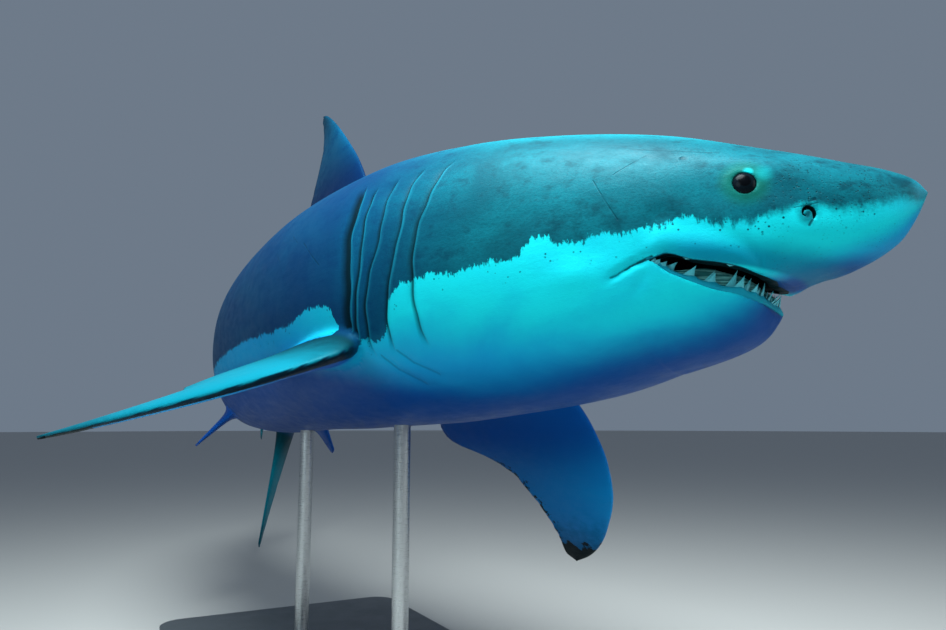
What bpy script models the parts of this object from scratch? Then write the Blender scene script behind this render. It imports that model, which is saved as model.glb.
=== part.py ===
"""Life-size still model of a great white shark on a display stand.

Metres, +Z up.  The head points to +X and the origin is the centre of the underside
of the stand's base.  The fish is drawn straight first: a point on it is given by how
far back it lies (0 at the snout tip, 1 at the tail tip), how far to its left and how
far above its axis, all as shares of the body length.  bend() then carries the point
on to the curved, gently banking backbone.
"""
import math

import bmesh
import bpy
import numpy as np
from mathutils import Euler, Matrix, Vector

# ---- driving dimensions -------------------------------------------------------------
LENGTH = 4.5                    # snout tip to tail tip along the backbone
GAP = 0.0004                    # air left between neighbouring solids
SEGMENTS = 28                   # points round the body

# The pose: where the shoulder girdle is, which way it faces, and how the spine bends.
GIRDLE = 0.25                   # station of the shoulder girdle
GIRDLE_POS = Vector((0.597, 0.100, 1.180))
GIRDLE_TURN = (math.radians(-3.2), math.radians(-2.1), math.radians(14.8))
TURN_AT = (0.0, 0.12, 0.24, 0.36, 0.48, 0.60, 0.75, 0.90)
TURN_RATE = (-0.97, -1.32, -1.32, -0.75, -0.98, -1.22, -2.00, -2.00)
RISE_AT = (0.0, 0.3, 0.6, 0.9)
RISE_RATE = (-0.045, 0.095, 0.465, 0.022)
TWIST_AT = (0.0, 0.25, 0.60, 0.85, 1.0)
TWIST = (0.051, 0.0, -0.026, -0.20, -0.30)

# Body outline: station, height above the axis, depth below it, half width.
OUTLINE = (
    (0.000, 0.0030, -0.0030, 0.0000),
    (0.004, 0.0085, 0.0055, 0.0065),
    (0.012, 0.0135, 0.0165, 0.0130),
    (0.030, 0.0205, 0.0262, 0.0240),
    (0.049, 0.0278, 0.0318, 0.0336),
    (0.060, 0.0318, 0.0425, 0.0383),
    (0.100, 0.0465, 0.0635, 0.0531),
    (0.150, 0.0595, 0.0765, 0.0665),
    (0.200, 0.0695, 0.0819, 0.0755),
    (0.270, 0.0778, 0.0856, 0.0813),
    (0.350, 0.0800, 0.0853, 0.0796),
    (0.420, 0.0780, 0.0826, 0.0750),
    (0.500, 0.0735, 0.0795, 0.0689),
    (0.600, 0.0620, 0.0665, 0.0545),
    (0.700, 0.0437, 0.0456, 0.0382),
    (0.780, 0.0265, 0.0275, 0.0268),
    (0.830, 0.0190, 0.0190, 0.0240),
    (0.870, 0.0180, 0.0180, 0.0160),
)
BOXINESS = 0.92                 # 1 is an ellipse, less is fuller at the shoulders
SNOUT_RISE, SNOUT_BLEND = 0.003, 0.012   # the snout tip lies this far above the axis
KEEL_FROM, KEEL_TO = 0.77, 0.84

# Lengths the body is cut into, with the stations of the rings in each.
BODY_LENGTHS = {
    "head": (0.0, 0.004, 0.010, 0.019, 0.030, 0.042, 0.054, 0.066, 0.078, 0.090,
             0.103, 0.118, 0.134, 0.152, 0.171, 0.190),
    "gill_region": (0.190, 0.208, 0.227, 0.246, 0.266),
    "trunk_front": (0.266, 0.287, 0.308, 0.329, 0.350, 0.370),
    "trunk_middle": (0.370, 0.392, 0.414, 0.436, 0.458, 0.480, 0.500),
    "trunk_rear": (0.500, 0.524, 0.548, 0.572, 0.596, 0.618, 0.640),
    "tail_front": (0.640, 0.664, 0.688, 0.712, 0.736, 0.758, 0.780),
    "tail_stem": (0.780, 0.800, 0.820, 0.840, 0.862),
}

# Mouth, seen from the side: station and height of the two lips.
UPPER_LIP = ((0.0490, -0.0345), (0.055, -0.0332), (0.062, -0.0297), (0.074, -0.0245),
             (0.088, -0.0215), (0.101, -0.0215), (0.128, -0.0230))
LOWER_LIP = ((0.0592, -0.0400), (0.065, -0.0392), (0.074, -0.0362), (0.084, -0.0325),
             (0.093, -0.0275), (0.101, -0.0232), (0.1275, -0.0242))
JAW_HINGE, MOUTH_CORNER = 0.130, 0.099
CHIN_BLUNT = 0.3                # 0 is a flat front to the jaw, 1 a pointed one
CHIN_DROP, CHIN_DROP_TO = 0.004, 0.105   # the chin hangs below the body's outline
JAW_DISH = 0.003                # how far the floor of the mouth lies below the lip
CHIN_ROUND = 0.034              # how far back the chin's curve runs in plan
TOOTH_COUNT = 11                # on each side of a jaw
TOOTH_HEIGHT, TOOTH_WIDTH, TOOTH_DEPTH = 0.030, 0.020, 0.009
TOOTH_ROOT = 0.010

EYE_AT, EYE_ANGLE = 0.064, math.radians(12)
EYE_RADII = (0.0265, 0.0150, 0.0255)
EYE_SINK = 0.006
NOSTRIL_AT, NOSTRIL_ANGLE = 0.042, math.radians(-12)
NOSTRIL_RADII = (0.012, 0.012, 0.007)

# Gill slits: station of the top, of the middle and of the foot of each.
GILL_SLITS = ((0.196, 0.206, 0.208), (0.208, 0.220, 0.229), (0.227, 0.235, 0.244),
              (0.239, 0.244, 0.254), (0.251, 0.251, 0.261))
GILL_TOP, GILL_FOOT = math.radians(37), math.radians(-36)
GILL_WIDTH, GILL_DEPTH = 0.0016, 0.0034

# Stand
BASE_LENGTH, BASE_WIDTH, BASE_THICK, BASE_CORNER = 1.70, 0.95, 0.030, 0.090
ROD_RADIUS, ROD_SINK, ROD_SIDES = 0.024, 0.050, 24
ROD_STATIONS = {"front": 0.305, "rear": 0.457}
FLANGE_RADIUS, FLANGE_THICK = 0.075, 0.014

# Finishes: colour, roughness, metallic
SKIN_COLOURS = {"back": (0.20, 0.25, 0.27), "belly": (0.66, 0.71, 0.71)}
EYE_COLOUR = (0.012, 0.012, 0.014)
STEEL_COLOUR = (0.33, 0.34, 0.35)
BASE_COLOUR = (0.09, 0.095, 0.10)


# ---- curves -------------------------------------------------------------------------
def curve_through(stations, values, at):
    """A smooth curve through the values that never overshoots them."""
    x = np.asarray(stations, float)
    y = np.asarray(values, float)
    step = np.diff(x)
    rise = np.diff(y) / step
    slope = np.zeros_like(y)
    slope[0], slope[-1] = rise[0], rise[-1]
    for i in range(1, len(x) - 1):
        if rise[i - 1] * rise[i] > 0:
            before = 2 * step[i] + step[i - 1]
            after = step[i] + 2 * step[i - 1]
            slope[i] = (before + after) / (before / rise[i - 1] + after / rise[i])
    at = min(max(at, x[0]), x[-1])
    i = min(int(np.searchsorted(x, at, side="right")) - 1, len(x) - 2)
    i = max(i, 0)
    t = (at - x[i]) / step[i]
    return float(
        y[i] * (1 + 2 * t) * (1 - t) ** 2 + step[i] * slope[i] * t * (1 - t) ** 2
        + y[i + 1] * t * t * (3 - 2 * t) + step[i] * slope[i + 1] * t * t * (t - 1))


def above(u):
    return curve_through([row[0] for row in OUTLINE], [row[1] for row in OUTLINE], u)


def below(u):
    return curve_through([row[0] for row in OUTLINE], [row[2] for row in OUTLINE], u)


def half_width(u):
    return curve_through([row[0] for row in OUTLINE], [row[3] for row in OUTLINE], u)


class Backbone:
    """The bent spine: a point and its forward, left and up directions anywhere."""

    def __init__(self):
        count = 421
        self.at = np.linspace(0.0, 1.05, count)
        step = self.at[1] - self.at[0]
        middle = int(round(GIRDLE / step))
        turn = np.cumsum(np.interp(self.at, TURN_AT, TURN_RATE)) * step
        rise = np.cumsum(np.interp(self.at, RISE_AT, RISE_RATE)) * step
        self.turn = turn - turn[middle]
        self.rise = rise - rise[middle]
        forward = np.stack([np.cos(self.turn) * np.cos(self.rise),
                            np.sin(self.turn) * np.cos(self.rise), np.sin(self.rise)], 1)
        path = -np.cumsum(forward, 0) * step
        self.path = path - path[middle]
        place = Matrix.Translation(GIRDLE_POS) @ Euler(GIRDLE_TURN, "XYZ").to_matrix().to_4x4()
        self.place = place @ Matrix.Scale(LENGTH, 4)

    def frame(self, u):
        """Matrix from straight axes (forward, left, up) at station u to the world."""
        turn = float(np.interp(u, self.at, self.turn))
        rise = float(np.interp(u, self.at, self.rise))
        origin = [float(np.interp(u, self.at, self.path[:, i])) for i in range(3)]
        forward = Vector((math.cos(turn) * math.cos(rise), math.sin(turn) * math.cos(rise),
                          math.sin(rise)))
        left = Vector((-math.sin(turn), math.cos(turn), 0.0))
        twist = float(np.interp(u, TWIST_AT, TWIST))
        roll = Matrix.Rotation(twist, 3, forward)
        left = roll @ left
        frame = Matrix((forward, left, forward.cross(left))).transposed().to_4x4()
        return self.place @ Matrix.Translation(origin) @ frame


BACKBONE = Backbone()


def bend(u, y, z):
    """World place of a point of the straight fish."""
    return BACKBONE.frame(u) @ Vector((0.0, y, z))


def section(u, angle, grow=0.0):
    """Sideways and upward offsets of the body surface at station u."""
    c, s = math.cos(angle), math.sin(angle)
    keel = min(max((u - KEEL_FROM) / (KEEL_TO - KEEL_FROM), 0.0), 1.0)
    sharp = BOXINESS + 0.9 * keel
    wide = half_width(u) + grow
    waist = SNOUT_RISE * max(1 - u / SNOUT_BLEND, 0.0)
    tall = (above(u) - waist if s > 0 else below(u) + waist) + grow
    return (math.copysign(abs(c) ** sharp, c) * wide,
            waist + math.copysign(abs(s) ** BOXINESS, s) * tall)


def surface(u, angle, grow=0.0):
    y, z = section(u, angle, grow)
    return bend(u, y, z)


# ---- mesh helpers -------------------------------------------------------------------
def tube(across, along, point):
    """A closed tube: point(s, t) for s from 0 to 1 along it and t once round it."""
    bm = bmesh.new()
    bmesh.ops.create_grid(bm, x_segments=along, y_segments=across, size=1.0)
    for vert in bm.verts:
        s, t = (vert.co.x + 1) / 2, (vert.co.y + 1) / 2
        vert.co = point(s, t % 1.0 if t < 1 else 0.0)
    bmesh.ops.remove_doubles(bm, verts=bm.verts, dist=1e-5)
    bmesh.ops.holes_fill(bm, edges=bm.edges)
    bmesh.ops.recalc_face_normals(bm, faces=bm.faces)
    bmesh.ops.triangulate(bm, faces=[f for f in bm.faces if len(f.verts) > 4])
    return bm


def make_object(name, bm, finish):
    mesh = bpy.data.meshes.new(name)
    bm.to_mesh(mesh)
    bm.free()
    mesh.shade_smooth()
    mesh.set_sharp_from_angle(angle=math.radians(40))
    mesh.materials.append(finish)
    obj = bpy.data.objects.new(name, mesh)
    bpy.context.scene.collection.objects.link(obj)
    return obj


def finish(name, colour, roughness=0.5, metallic=0.0):
    mat = bpy.data.materials.new(name)
    mat.use_nodes = True
    shader = mat.node_tree.nodes["Principled BSDF"]
    shader.inputs["Base Color"].default_value = (*colour, 1.0)
    shader.inputs["Roughness"].default_value = roughness
    shader.inputs["Metallic"].default_value = metallic
    return mat


def combine(obj, other, operation):
    """Apply a Boolean with another object and remove that object."""
    mod = obj.modifiers.new("combine", "BOOLEAN")
    mod.operation = operation
    mod.solver = "EXACT"
    mod.object = other
    bpy.context.view_layer.update()
    result = bpy.data.meshes.new_from_object(obj.evaluated_get(
        bpy.context.evaluated_depsgraph_get()))
    obj.modifiers.clear()
    old = obj.data
    obj.data = result
    bpy.data.meshes.remove(old)
    bpy.data.meshes.remove(other.data)
    tidy = bmesh.new()
    tidy.from_mesh(result)
    bmesh.ops.dissolve_degenerate(tidy, edges=tidy.edges, dist=1e-5)
    tidy.to_mesh(result)
    tidy.free()


# ---- the body -----------------------------------------------------------------------
def body_tube(stations, grow=0.0):
    """The body between the first and the last station, with flat ends."""
    last = len(stations) - 1

    def point(s, t):
        u = float(np.interp(s * last, range(last + 1), stations))
        return surface(u, t * 2 * math.pi, grow)

    return tube(SEGMENTS, last, point)


def make_body(skin):
    """One object for each length of the body, a thin cut apart."""
    half_gap = GAP / LENGTH / 2
    made = {}
    for name, stations in BODY_LENGTHS.items():
        stations = list(stations)
        if stations[0] > 0:
            stations[0] += half_gap
        stations[-1] -= half_gap
        made[name] = make_object(name, body_tube(stations), skin)
    return made


def side_prism(outline, half_span):
    """A prism with a side-view outline, reaching half_span to each side, then bent."""
    rings = 9

    def point(s, t):
        i = int(round(t * len(outline))) % len(outline)
        u, z = outline[i]
        return bend(u, (2 * s - 1) * half_span, z)

    return tube(len(outline), rings - 1, point)


def lip_height(lip, u):
    return float(np.interp(u, [p[0] for p in lip], [p[1] for p in lip]))


def plan_share(u, front):
    """Share of the body's width that a jaw has at station u, in plan a rounded U."""
    ahead = min(max((front + CHIN_ROUND - u) / CHIN_ROUND, 0.0), 1.0)
    return math.sqrt(max(1 - ahead ** 2.4, 0.0))


def jaw_depth(u):
    front = LOWER_LIP[0][0]
    return below(u) + CHIN_DROP * max((CHIN_DROP_TO - u) / (CHIN_DROP_TO - front), 0.0)


def jaw_height(u, z):
    """Draw the heights of the lower jaw together towards its rounded front."""
    front = LOWER_LIP[0][0]
    middle = (LOWER_LIP[0][1] - jaw_depth(front)) / 2
    return middle + (z - middle) * plan_share(u, front) ** CHIN_BLUNT


def jaw_top(u):
    return jaw_height(u, lip_height(LOWER_LIP, u) - JAW_DISH)


def jaw_section(u, t):
    """Outline of the lower jaw: round underneath, flat and slightly dished on top."""
    top = lip_height(LOWER_LIP, u)
    deep, wide = jaw_depth(u), half_width(u)
    start = math.asin(min(abs(top) / deep, 0.98) ** (1 / BOXINESS))
    if t < 0.7:
        angle = -(start + (math.pi - 2 * start) * t / 0.7)
        y = math.copysign(abs(math.cos(angle)) ** BOXINESS, math.cos(angle)) * wide
        z = -abs(math.sin(angle)) ** BOXINESS * deep
    else:
        edge = math.cos(start) ** BOXINESS * wide
        across = (t - 0.7) / 0.3 * 2 - 1
        y = across * edge
        z = top - JAW_DISH * (1 - across * across)
    return y * plan_share(u, LOWER_LIP[0][0]), jaw_height(u, z)


def make_lower_jaw(skin):
    front, back = LOWER_LIP[0][0], JAW_HINGE - GAP / LENGTH
    steps = 10

    def point(s, t):
        u = front + (back - front) * s ** 1.6
        return bend(u, *jaw_section(u, t))

    return make_object("lower_jaw", tube(20, steps, point), skin)


def tooth(place, skin, height, lean):
    """A flat triangular tooth standing on the gum at place."""
    bm = bmesh.new()
    bmesh.ops.create_cone(bm, cap_ends=True, segments=4, radius1=0.5, radius2=0.02,
                          depth=height + TOOTH_ROOT)
    bmesh.ops.rotate(bm, verts=bm.verts, matrix=Matrix.Rotation(math.radians(45), 3, "Z"))
    bmesh.ops.translate(bm, verts=bm.verts, vec=(0, 0, (height - TOOTH_ROOT) / 2))
    spread = math.sqrt(2)
    bmesh.ops.scale(bm, verts=bm.verts, vec=(TOOTH_WIDTH * spread, TOOTH_DEPTH * spread, 1))
    bmesh.ops.rotate(bm, verts=bm.verts, matrix=Matrix.Rotation(lean, 3, "X"))
    bmesh.ops.transform(bm, matrix=place, verts=bm.verts)
    return make_object("tooth", bm, skin)


def tooth_places(lip, inset, lower):
    """Places along a lip, evenly spaced round the front of the mouth."""
    front = lip[0][0]
    rim = []
    for i in range(120):
        u = front + (MOUTH_CORNER - front) * (i / 119) ** 2
        share = plan_share(u, front)
        z = lip_height(lip, u)
        edge = math.sqrt(max(1 - (z / below(u)) ** 2, 0.0)) * half_width(u)
        rim.append((u, edge * share))
    rim = np.array(rim)
    tangent = np.gradient(rim, axis=0)
    tangent /= np.linalg.norm(tangent, axis=1)[:, None]
    inner = rim + inset * np.stack([tangent[:, 1], -tangent[:, 0]], 1)
    keep = inner[:, 1] > 0.002
    inner, tangent = inner[keep], tangent[keep]
    run = np.concatenate([[0], np.cumsum(np.hypot(*np.diff(inner, axis=0).T))])
    places = []
    for i in range(TOOTH_COUNT):
        far = run[-1] * (i + 0.4) / TOOTH_COUNT
        u, y = (float(np.interp(far, run, inner[:, k])) for k in (0, 1))
        along = [float(np.interp(far, run, tangent[:, k])) for k in (0, 1)]
        z = jaw_top(u) if lower else lip_height(lip, u)
        yaw = math.atan2(along[1], -along[0])
        for side in (-1, 1):
            frame = BACKBONE.frame(u)
            spot = frame @ Vector((0, side * y, z))
            turn = frame.to_3x3().normalized() @ Matrix.Rotation(side * yaw, 3, "Z")
            if not lower:
                turn = turn @ Matrix.Rotation(math.pi, 3, "X")
            size = 1 - 0.45 * i / TOOTH_COUNT
            places.append((Matrix.Translation(spot) @ turn.to_4x4(), size))
    return places


def add_teeth(jaw, head, skin):
    for place, size in tooth_places(LOWER_LIP, 0.0035, True):
        combine(jaw, tooth(place, skin, TOOTH_HEIGHT * size, 0.0), "UNION")
    for place, size in tooth_places(UPPER_LIP, 0.0060, False):
        combine(head, tooth(place, skin, TOOTH_HEIGHT * 0.42 * size, 0.0), "UNION")


def ball(name, u, angle, radii, sink, grow, material, parts=(16, 9)):
    """A flattened ball whose short axis points out of the skin."""
    bm = bmesh.new()
    bmesh.ops.create_uvsphere(bm, u_segments=parts[0], v_segments=parts[1], radius=1.0)
    bmesh.ops.scale(bm, verts=bm.verts, vec=[r + grow for r in radii])
    side = 1 if math.cos(angle) > 0 else -1
    centre = surface(u, angle)
    out = (surface(u, angle, 0.002) - centre).normalized()
    along = (surface(u - 0.004, angle) - surface(u + 0.004, angle)).normalized()
    out = (out - along * out.dot(along)).normalized()
    up = along.cross(out) * side
    turn = Matrix((along, out, up)).transposed()
    if turn.determinant() < 0:
        turn = Matrix((along, out, -up)).transposed()
    bmesh.ops.transform(bm, verts=bm.verts,
                        matrix=Matrix.Translation(centre - out * sink) @ turn.to_4x4())
    return make_object(name, bm, material)


def make_eyes(head, glass, skin):
    for side, angle in (("right", math.pi - EYE_ANGLE), ("left", EYE_ANGLE)):
        ball("eye_" + side, EYE_AT, angle, EYE_RADII, EYE_SINK, 0.0, glass)
        combine(head, ball("socket", EYE_AT, angle, EYE_RADII, EYE_SINK, GAP, skin),
                "DIFFERENCE")


def cut_nostrils(head, skin):
    for angle in (NOSTRIL_ANGLE, math.pi - NOSTRIL_ANGLE):
        hollow = ball("nostril", NOSTRIL_AT, angle, NOSTRIL_RADII, 0.0, 0.0, skin, (8, 6))
        combine(head, hollow, "DIFFERENCE")


def cut_mouth(head, skin):
    """Open the space of the mouth and of the lower jaw under the upper lip."""
    deep = -0.12
    outline = [(UPPER_LIP[0][0], deep)] + list(UPPER_LIP)
    outline += [(JAW_HINGE, UPPER_LIP[-1][1]), (JAW_HINGE, deep)]
    combine(head, make_object("mouth_space", side_prism(outline, 0.09), skin), "DIFFERENCE")


def cut_gills(piece, skin):
    """Five slits on each side, each a narrow curved groove."""
    steps = 6
    for top, middle, foot in GILL_SLITS:
        for side in (0, 1):
            def point(s, t):
                angle = GILL_TOP + (GILL_FOOT - GILL_TOP) * s
                u = float(np.interp(s, (0, 0.5, 1), (top, middle, foot)))
                fade = math.sin(math.pi * (0.08 + 0.84 * s)) ** 0.5
                corner = int(round(t * 4)) % 4
                u += (-1, 1, 1, -1)[corner] * GILL_WIDTH / 2 * fade
                lift = (0.002, 0.002, -GILL_DEPTH * fade, -GILL_DEPTH * fade)[corner]
                if side:
                    angle = math.pi - angle
                return surface(u, angle, lift)
            combine(piece, make_object("slit", tube(4, steps, point), skin), "DIFFERENCE")


# ---- fins ---------------------------------------------------------------------------
def foil(share):
    """Half thickness of a fin across its chord, as a share of its full thickness."""
    c = min(max(share, 0.0), 1.0)
    return 5 * (0.2969 * math.sqrt(c) - 0.126 * c - 0.3516 * c ** 2 + 0.2843 * c ** 3
                - 0.1036 * c ** 4)


CHORD_STEPS = (0.0, 0.04, 0.12, 0.28, 0.50, 0.74, 1.0)
FIN_EDGE = 0.0008               # half thickness of the thin rear edge, in metres


def fin_tube(spans, edges, thickness, place):
    """A blade: edges(b) gives front and rear, thickness(b) its fullness, place() the world."""
    chord = list(reversed(CHORD_STEPS)) + list(CHORD_STEPS[1:])
    last = len(spans) - 1

    def point(s, t):
        b = float(np.interp(s * last, range(last + 1), spans))
        front, rear = edges(b)
        i = int(round(t * len(chord))) % len(chord)
        share = chord[i]
        face = 1 if i < len(CHORD_STEPS) - 1 else -1
        half = max(foil(share) * thickness(b), FIN_EDGE / LENGTH)
        if share == 0.0:
            half = 0.0
        return place(front + (rear - front) * share, b, face * half)

    return tube(len(chord), last, point)


def span_steps(reach, count, sunk):
    """Stations along a fin: one sunk in the body, then closer together at the tip."""
    steps = [sunk]
    steps += [reach * (1 - (1 - i / count) ** 1.35) for i in range(count)]
    return steps + [reach * 0.975, reach]


PECTORAL_AT, PECTORAL_ANGLE = 0.260, math.radians(-32)
PECTORAL_CHORD, PECTORAL_THICK, PECTORAL_BOW = 0.125, 0.0165, 0.030
PECTORAL_POSE = {               # droop below level, sweep back, length of front edge
    "right": (math.radians(23.8), math.radians(47.1), 0.1880),
    "left": (math.radians(48.5), math.radians(18.2), 0.1880),
}


def make_pectoral(side, cutter, skin):
    droop, sweep, reach = PECTORAL_POSE[side]
    out = 1 if side == "left" else -1
    y, z = section(PECTORAL_AT, PECTORAL_ANGLE)
    root = Vector((0.0, out * y, z))
    span_dir = Vector((0.0, out * math.cos(droop), -math.sin(droop)))
    face_dir = Vector((0.0, out * math.sin(droop), math.cos(droop)))
    tip_back, tip_out = reach * math.sin(sweep), reach * math.cos(sweep)
    frame = BACKBONE.frame(PECTORAL_AT)

    def edges(b):
        t = min(max(b / tip_out, 0.0), 1.0)
        sway = tip_back * (0.5 * t + 0.5 * t ** 3)
        front = tip_back * t ** 2.2 - PECTORAL_BOW * math.sin(math.pi * t ** 0.85)
        chord = PECTORAL_CHORD * ((1 - t) ** 1.35 + 0.03 * t)
        chord *= 1 - 0.30 * math.exp(-(t / 0.10) ** 2)
        return front, sway + chord

    def thickness(b):
        t = min(max(b / tip_out, 0.0), 1.0)
        return PECTORAL_THICK * (1 - t) ** 0.8 + 0.0022

    def place(a, b, h):
        return frame @ (root + Vector((-a, 0, 0)) + span_dir * b + face_dir * h)

    blade = fin_tube(span_steps(tip_out, 8, -0.035), edges, thickness, place)
    fin = make_object("pectoral_fin_" + side, blade, skin)
    combine(fin, cutter(), "DIFFERENCE")
    return fin


def make_upright_fin(name, spec, cutter, skin):
    """A fin on the midline: up is 1 on the back and -1 under the tail."""
    start, base, reach, tip_at, thick, up, hook = spec

    def edges(b):
        t = min(max(b / reach, 0.0), 1.0)
        front = start + (tip_at - start) * t ** 1.8
        rear_root = start + base
        free_tip = hook * math.exp(-((t - 0.06) / 0.14) ** 2)
        rear = rear_root + (tip_at + 0.006 - rear_root) * t ** 0.62
        return front, max(rear + free_tip, front + 0.004)

    def thickness(b):
        t = min(max(b / reach, 0.0), 1.0)
        return thick * (1 - 0.82 * t)

    def place(u, b, h):
        root = above(start + base / 2) if up > 0 else -below(start + base / 2)
        return bend(u, h, root + up * b)

    blade = fin_tube(span_steps(reach, 6 if reach > 0.1 else 3, -0.022), edges, thickness, place)
    fin = make_object(name, blade, skin)
    combine(fin, cutter(), "DIFFERENCE")
    return fin


UPRIGHT_FINS = {                # start, base, height, tip station, thickness, side, hook
    "first_dorsal_fin": (0.356, 0.117, 0.1150, 0.4560, 0.0150, 1, 0.036),
    "second_dorsal_fin": (0.737, 0.016, 0.0160, 0.7600, 0.0040, 1, 0.012),
    "anal_fin": (0.753, 0.015, 0.0170, 0.7760, 0.0040, -1, 0.012),
}

PELVIC_AT, PELVIC_BASE, PELVIC_TIP_AT = 0.540, 0.046, 0.600
PELVIC_ANGLE, PELVIC_DROOP, PELVIC_REACH = math.radians(-52), math.radians(48), 0.0370
PELVIC_THICK = 0.0075


def make_pelvic(side, cutter, skin):
    out = 1 if side == "left" else -1
    y, z = section(PELVIC_AT + 0.02, PELVIC_ANGLE)
    span_dir = (out * math.cos(PELVIC_DROOP), -math.sin(PELVIC_DROOP))

    def edges(b):
        t = min(max(b / PELVIC_REACH, 0.0), 1.0)
        front = PELVIC_AT + (PELVIC_TIP_AT - 0.014 - PELVIC_AT) * t
        rear_root = PELVIC_AT + PELVIC_BASE
        rear = rear_root + (PELVIC_TIP_AT - rear_root) * t ** 0.7
        return front, rear + 0.012 * math.exp(-((t - 0.12) / 0.16) ** 2)

    def thickness(b):
        t = min(max(b / PELVIC_REACH, 0.0), 1.0)
        return PELVIC_THICK * (1 - 0.75 * t)

    def place(u, b, h):
        across = out * y + span_dir[0] * b + out * math.sin(PELVIC_DROOP) * h
        return bend(u, across, z + span_dir[1] * b + math.cos(PELVIC_DROOP) * h)

    blade = fin_tube(span_steps(PELVIC_REACH, 4, -0.016), edges, thickness, place)
    fin = make_object("pelvic_fin_" + side, blade, skin)
    combine(fin, cutter(), "DIFFERENCE")
    return fin


CAUDAL_START = 0.862            # where the two lobes meet the tail stem
CAUDAL_FORK = 0.908
CAUDAL_LOBES = {                # side, tip station, tip height, notch near the tip
    "caudal_upper_lobe": (1, 1.000, 0.1700, 0.007),
    "caudal_lower_lobe": (-1, 0.930, 0.1585, 0.0),
}
STEM_HEIGHT = 0.0178


def make_caudal(name, skin):
    up, tip_at, tip_high, notch = CAUDAL_LOBES[name]
    start = CAUDAL_START + GAP / LENGTH

    def edges(b):
        t = min(max((b - STEM_HEIGHT) / (tip_high - STEM_HEIGHT), 0.0), 1.0)
        bow = 0.10 * math.sin(math.pi * t ** 0.8)
        front = start + (tip_at - 0.006 - start) * (t - bow)
        whole = min(max(b / tip_high, 0.0), 1.0)
        fork = CAUDAL_FORK + (tip_at - CAUDAL_FORK) * whole ** 1.7
        chord = max(fork - front, 0.006)
        dent = notch * math.exp(-((whole - 0.86) / 0.035) ** 2)
        return front, front + chord - dent

    def thickness(b):
        t = min(max(b / tip_high, 0.0), 1.0)
        return 0.030 * math.exp(-t / 0.22) + 0.0040

    def place(u, b, h):
        return bend(u, h, up * b)

    low = GAP / LENGTH / 2
    heights = [low, 0.007, 0.013, STEM_HEIGHT]
    heights += [STEM_HEIGHT + (tip_high - STEM_HEIGHT) * (i / 9) ** 0.9 for i in range(1, 9)]
    heights += [tip_high * 0.985, tip_high]
    return make_object(name, fin_tube(heights, edges, thickness, place), skin)


# ---- the stand ----------------------------------------------------------------------
def cylinder(name, radius, low, high, centre, sides, material, bevel=0.0):
    bm = bmesh.new()
    bmesh.ops.create_cone(bm, cap_ends=True, segments=sides, radius1=radius,
                          radius2=radius, depth=high - low)
    bmesh.ops.translate(bm, verts=bm.verts, vec=(centre.x, centre.y, (low + high) / 2))
    if bevel:
        rim = [e for e in bm.edges if all(v.co.z > high - 1e-5 for v in e.verts)]
        bmesh.ops.bevel(bm, geom=rim, offset=bevel, segments=2, profile=0.5,
                        affect="EDGES", material=-1)
    return make_object(name, bm, material)


def make_base(material):
    bm = bmesh.new()
    bmesh.ops.create_cube(bm, size=1.0)
    bmesh.ops.scale(bm, verts=bm.verts, vec=(BASE_LENGTH, BASE_WIDTH, BASE_THICK))
    bmesh.ops.translate(bm, verts=bm.verts, vec=(0, 0, BASE_THICK / 2))
    corners = [e for e in bm.edges if abs(e.verts[0].co.z - e.verts[1].co.z) > BASE_THICK / 2]
    bmesh.ops.bevel(bm, geom=corners, offset=BASE_CORNER, segments=6, profile=0.5,
                    affect="EDGES", material=-1)
    rim = [e for e in bm.edges if all(v.co.z > BASE_THICK - 1e-5 for v in e.verts)]
    bmesh.ops.bevel(bm, geom=rim, offset=0.006, segments=2, profile=0.5,
                    affect="EDGES", material=-1)
    return make_object("stand_base", bm, material)


def make_stand(body, steel, dark, skin):
    """Base, flanges and rods; the belly has a socket for each rod."""
    make_base(dark)
    carriers = {"front": "trunk_front", "rear": "trunk_middle"}
    for name, station in ROD_STATIONS.items():
        belly = surface(station, -math.pi / 2)
        top = belly.z + ROD_SINK
        foot = BASE_THICK + GAP
        cylinder("stand_flange_" + name, FLANGE_RADIUS, foot, foot + FLANGE_THICK, belly,
                 ROD_SIDES, steel, 0.004)
        cylinder("stand_rod_" + name, ROD_RADIUS, foot + FLANGE_THICK + GAP, top, belly,
                 ROD_SIDES, steel)
        socket = cylinder("socket", ROD_RADIUS + GAP, belly.z - 0.1, top + GAP, belly,
                          ROD_SIDES, skin)
        combine(body[carriers[name]], socket, "DIFFERENCE")


# ---- assembly -----------------------------------------------------------------------
def main():
    for obj in list(bpy.data.objects):
        bpy.data.objects.remove(obj)
    skin = finish("skin", SKIN_COLOURS["back"], 0.45)
    pale = finish("pale_skin", SKIN_COLOURS["belly"], 0.45)
    glass = finish("eye", EYE_COLOUR, 0.08)
    steel = finish("stand_steel", STEEL_COLOUR, 0.35, 1.0)
    dark = finish("stand_base", BASE_COLOUR, 0.5)

    body = make_body(skin)
    cut_mouth(body["head"], skin)
    jaw = make_lower_jaw(pale)
    add_teeth(jaw, body["head"], pale)
    make_eyes(body["head"], glass, skin)
    cut_nostrils(body["head"], skin)
    cut_gills(body["gill_region"], skin)

    stations = sorted({u for rows in BODY_LENGTHS.values() for u in rows})

    def cutter():
        return make_object("body_cutter", body_tube(stations, GAP / LENGTH), skin)

    for side in ("right", "left"):
        make_pectoral(side, cutter, skin)
        make_pelvic(side, cutter, skin)
    for name, spec in UPRIGHT_FINS.items():
        make_upright_fin(name, spec, cutter, skin)
    for name in CAUDAL_LOBES:
        make_caudal(name, skin)
    make_stand(body, steel, dark, skin)


main()
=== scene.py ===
import functools
import math

import bmesh
import bpy
import numpy as np
from mathutils import Euler, Matrix, Vector


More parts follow.
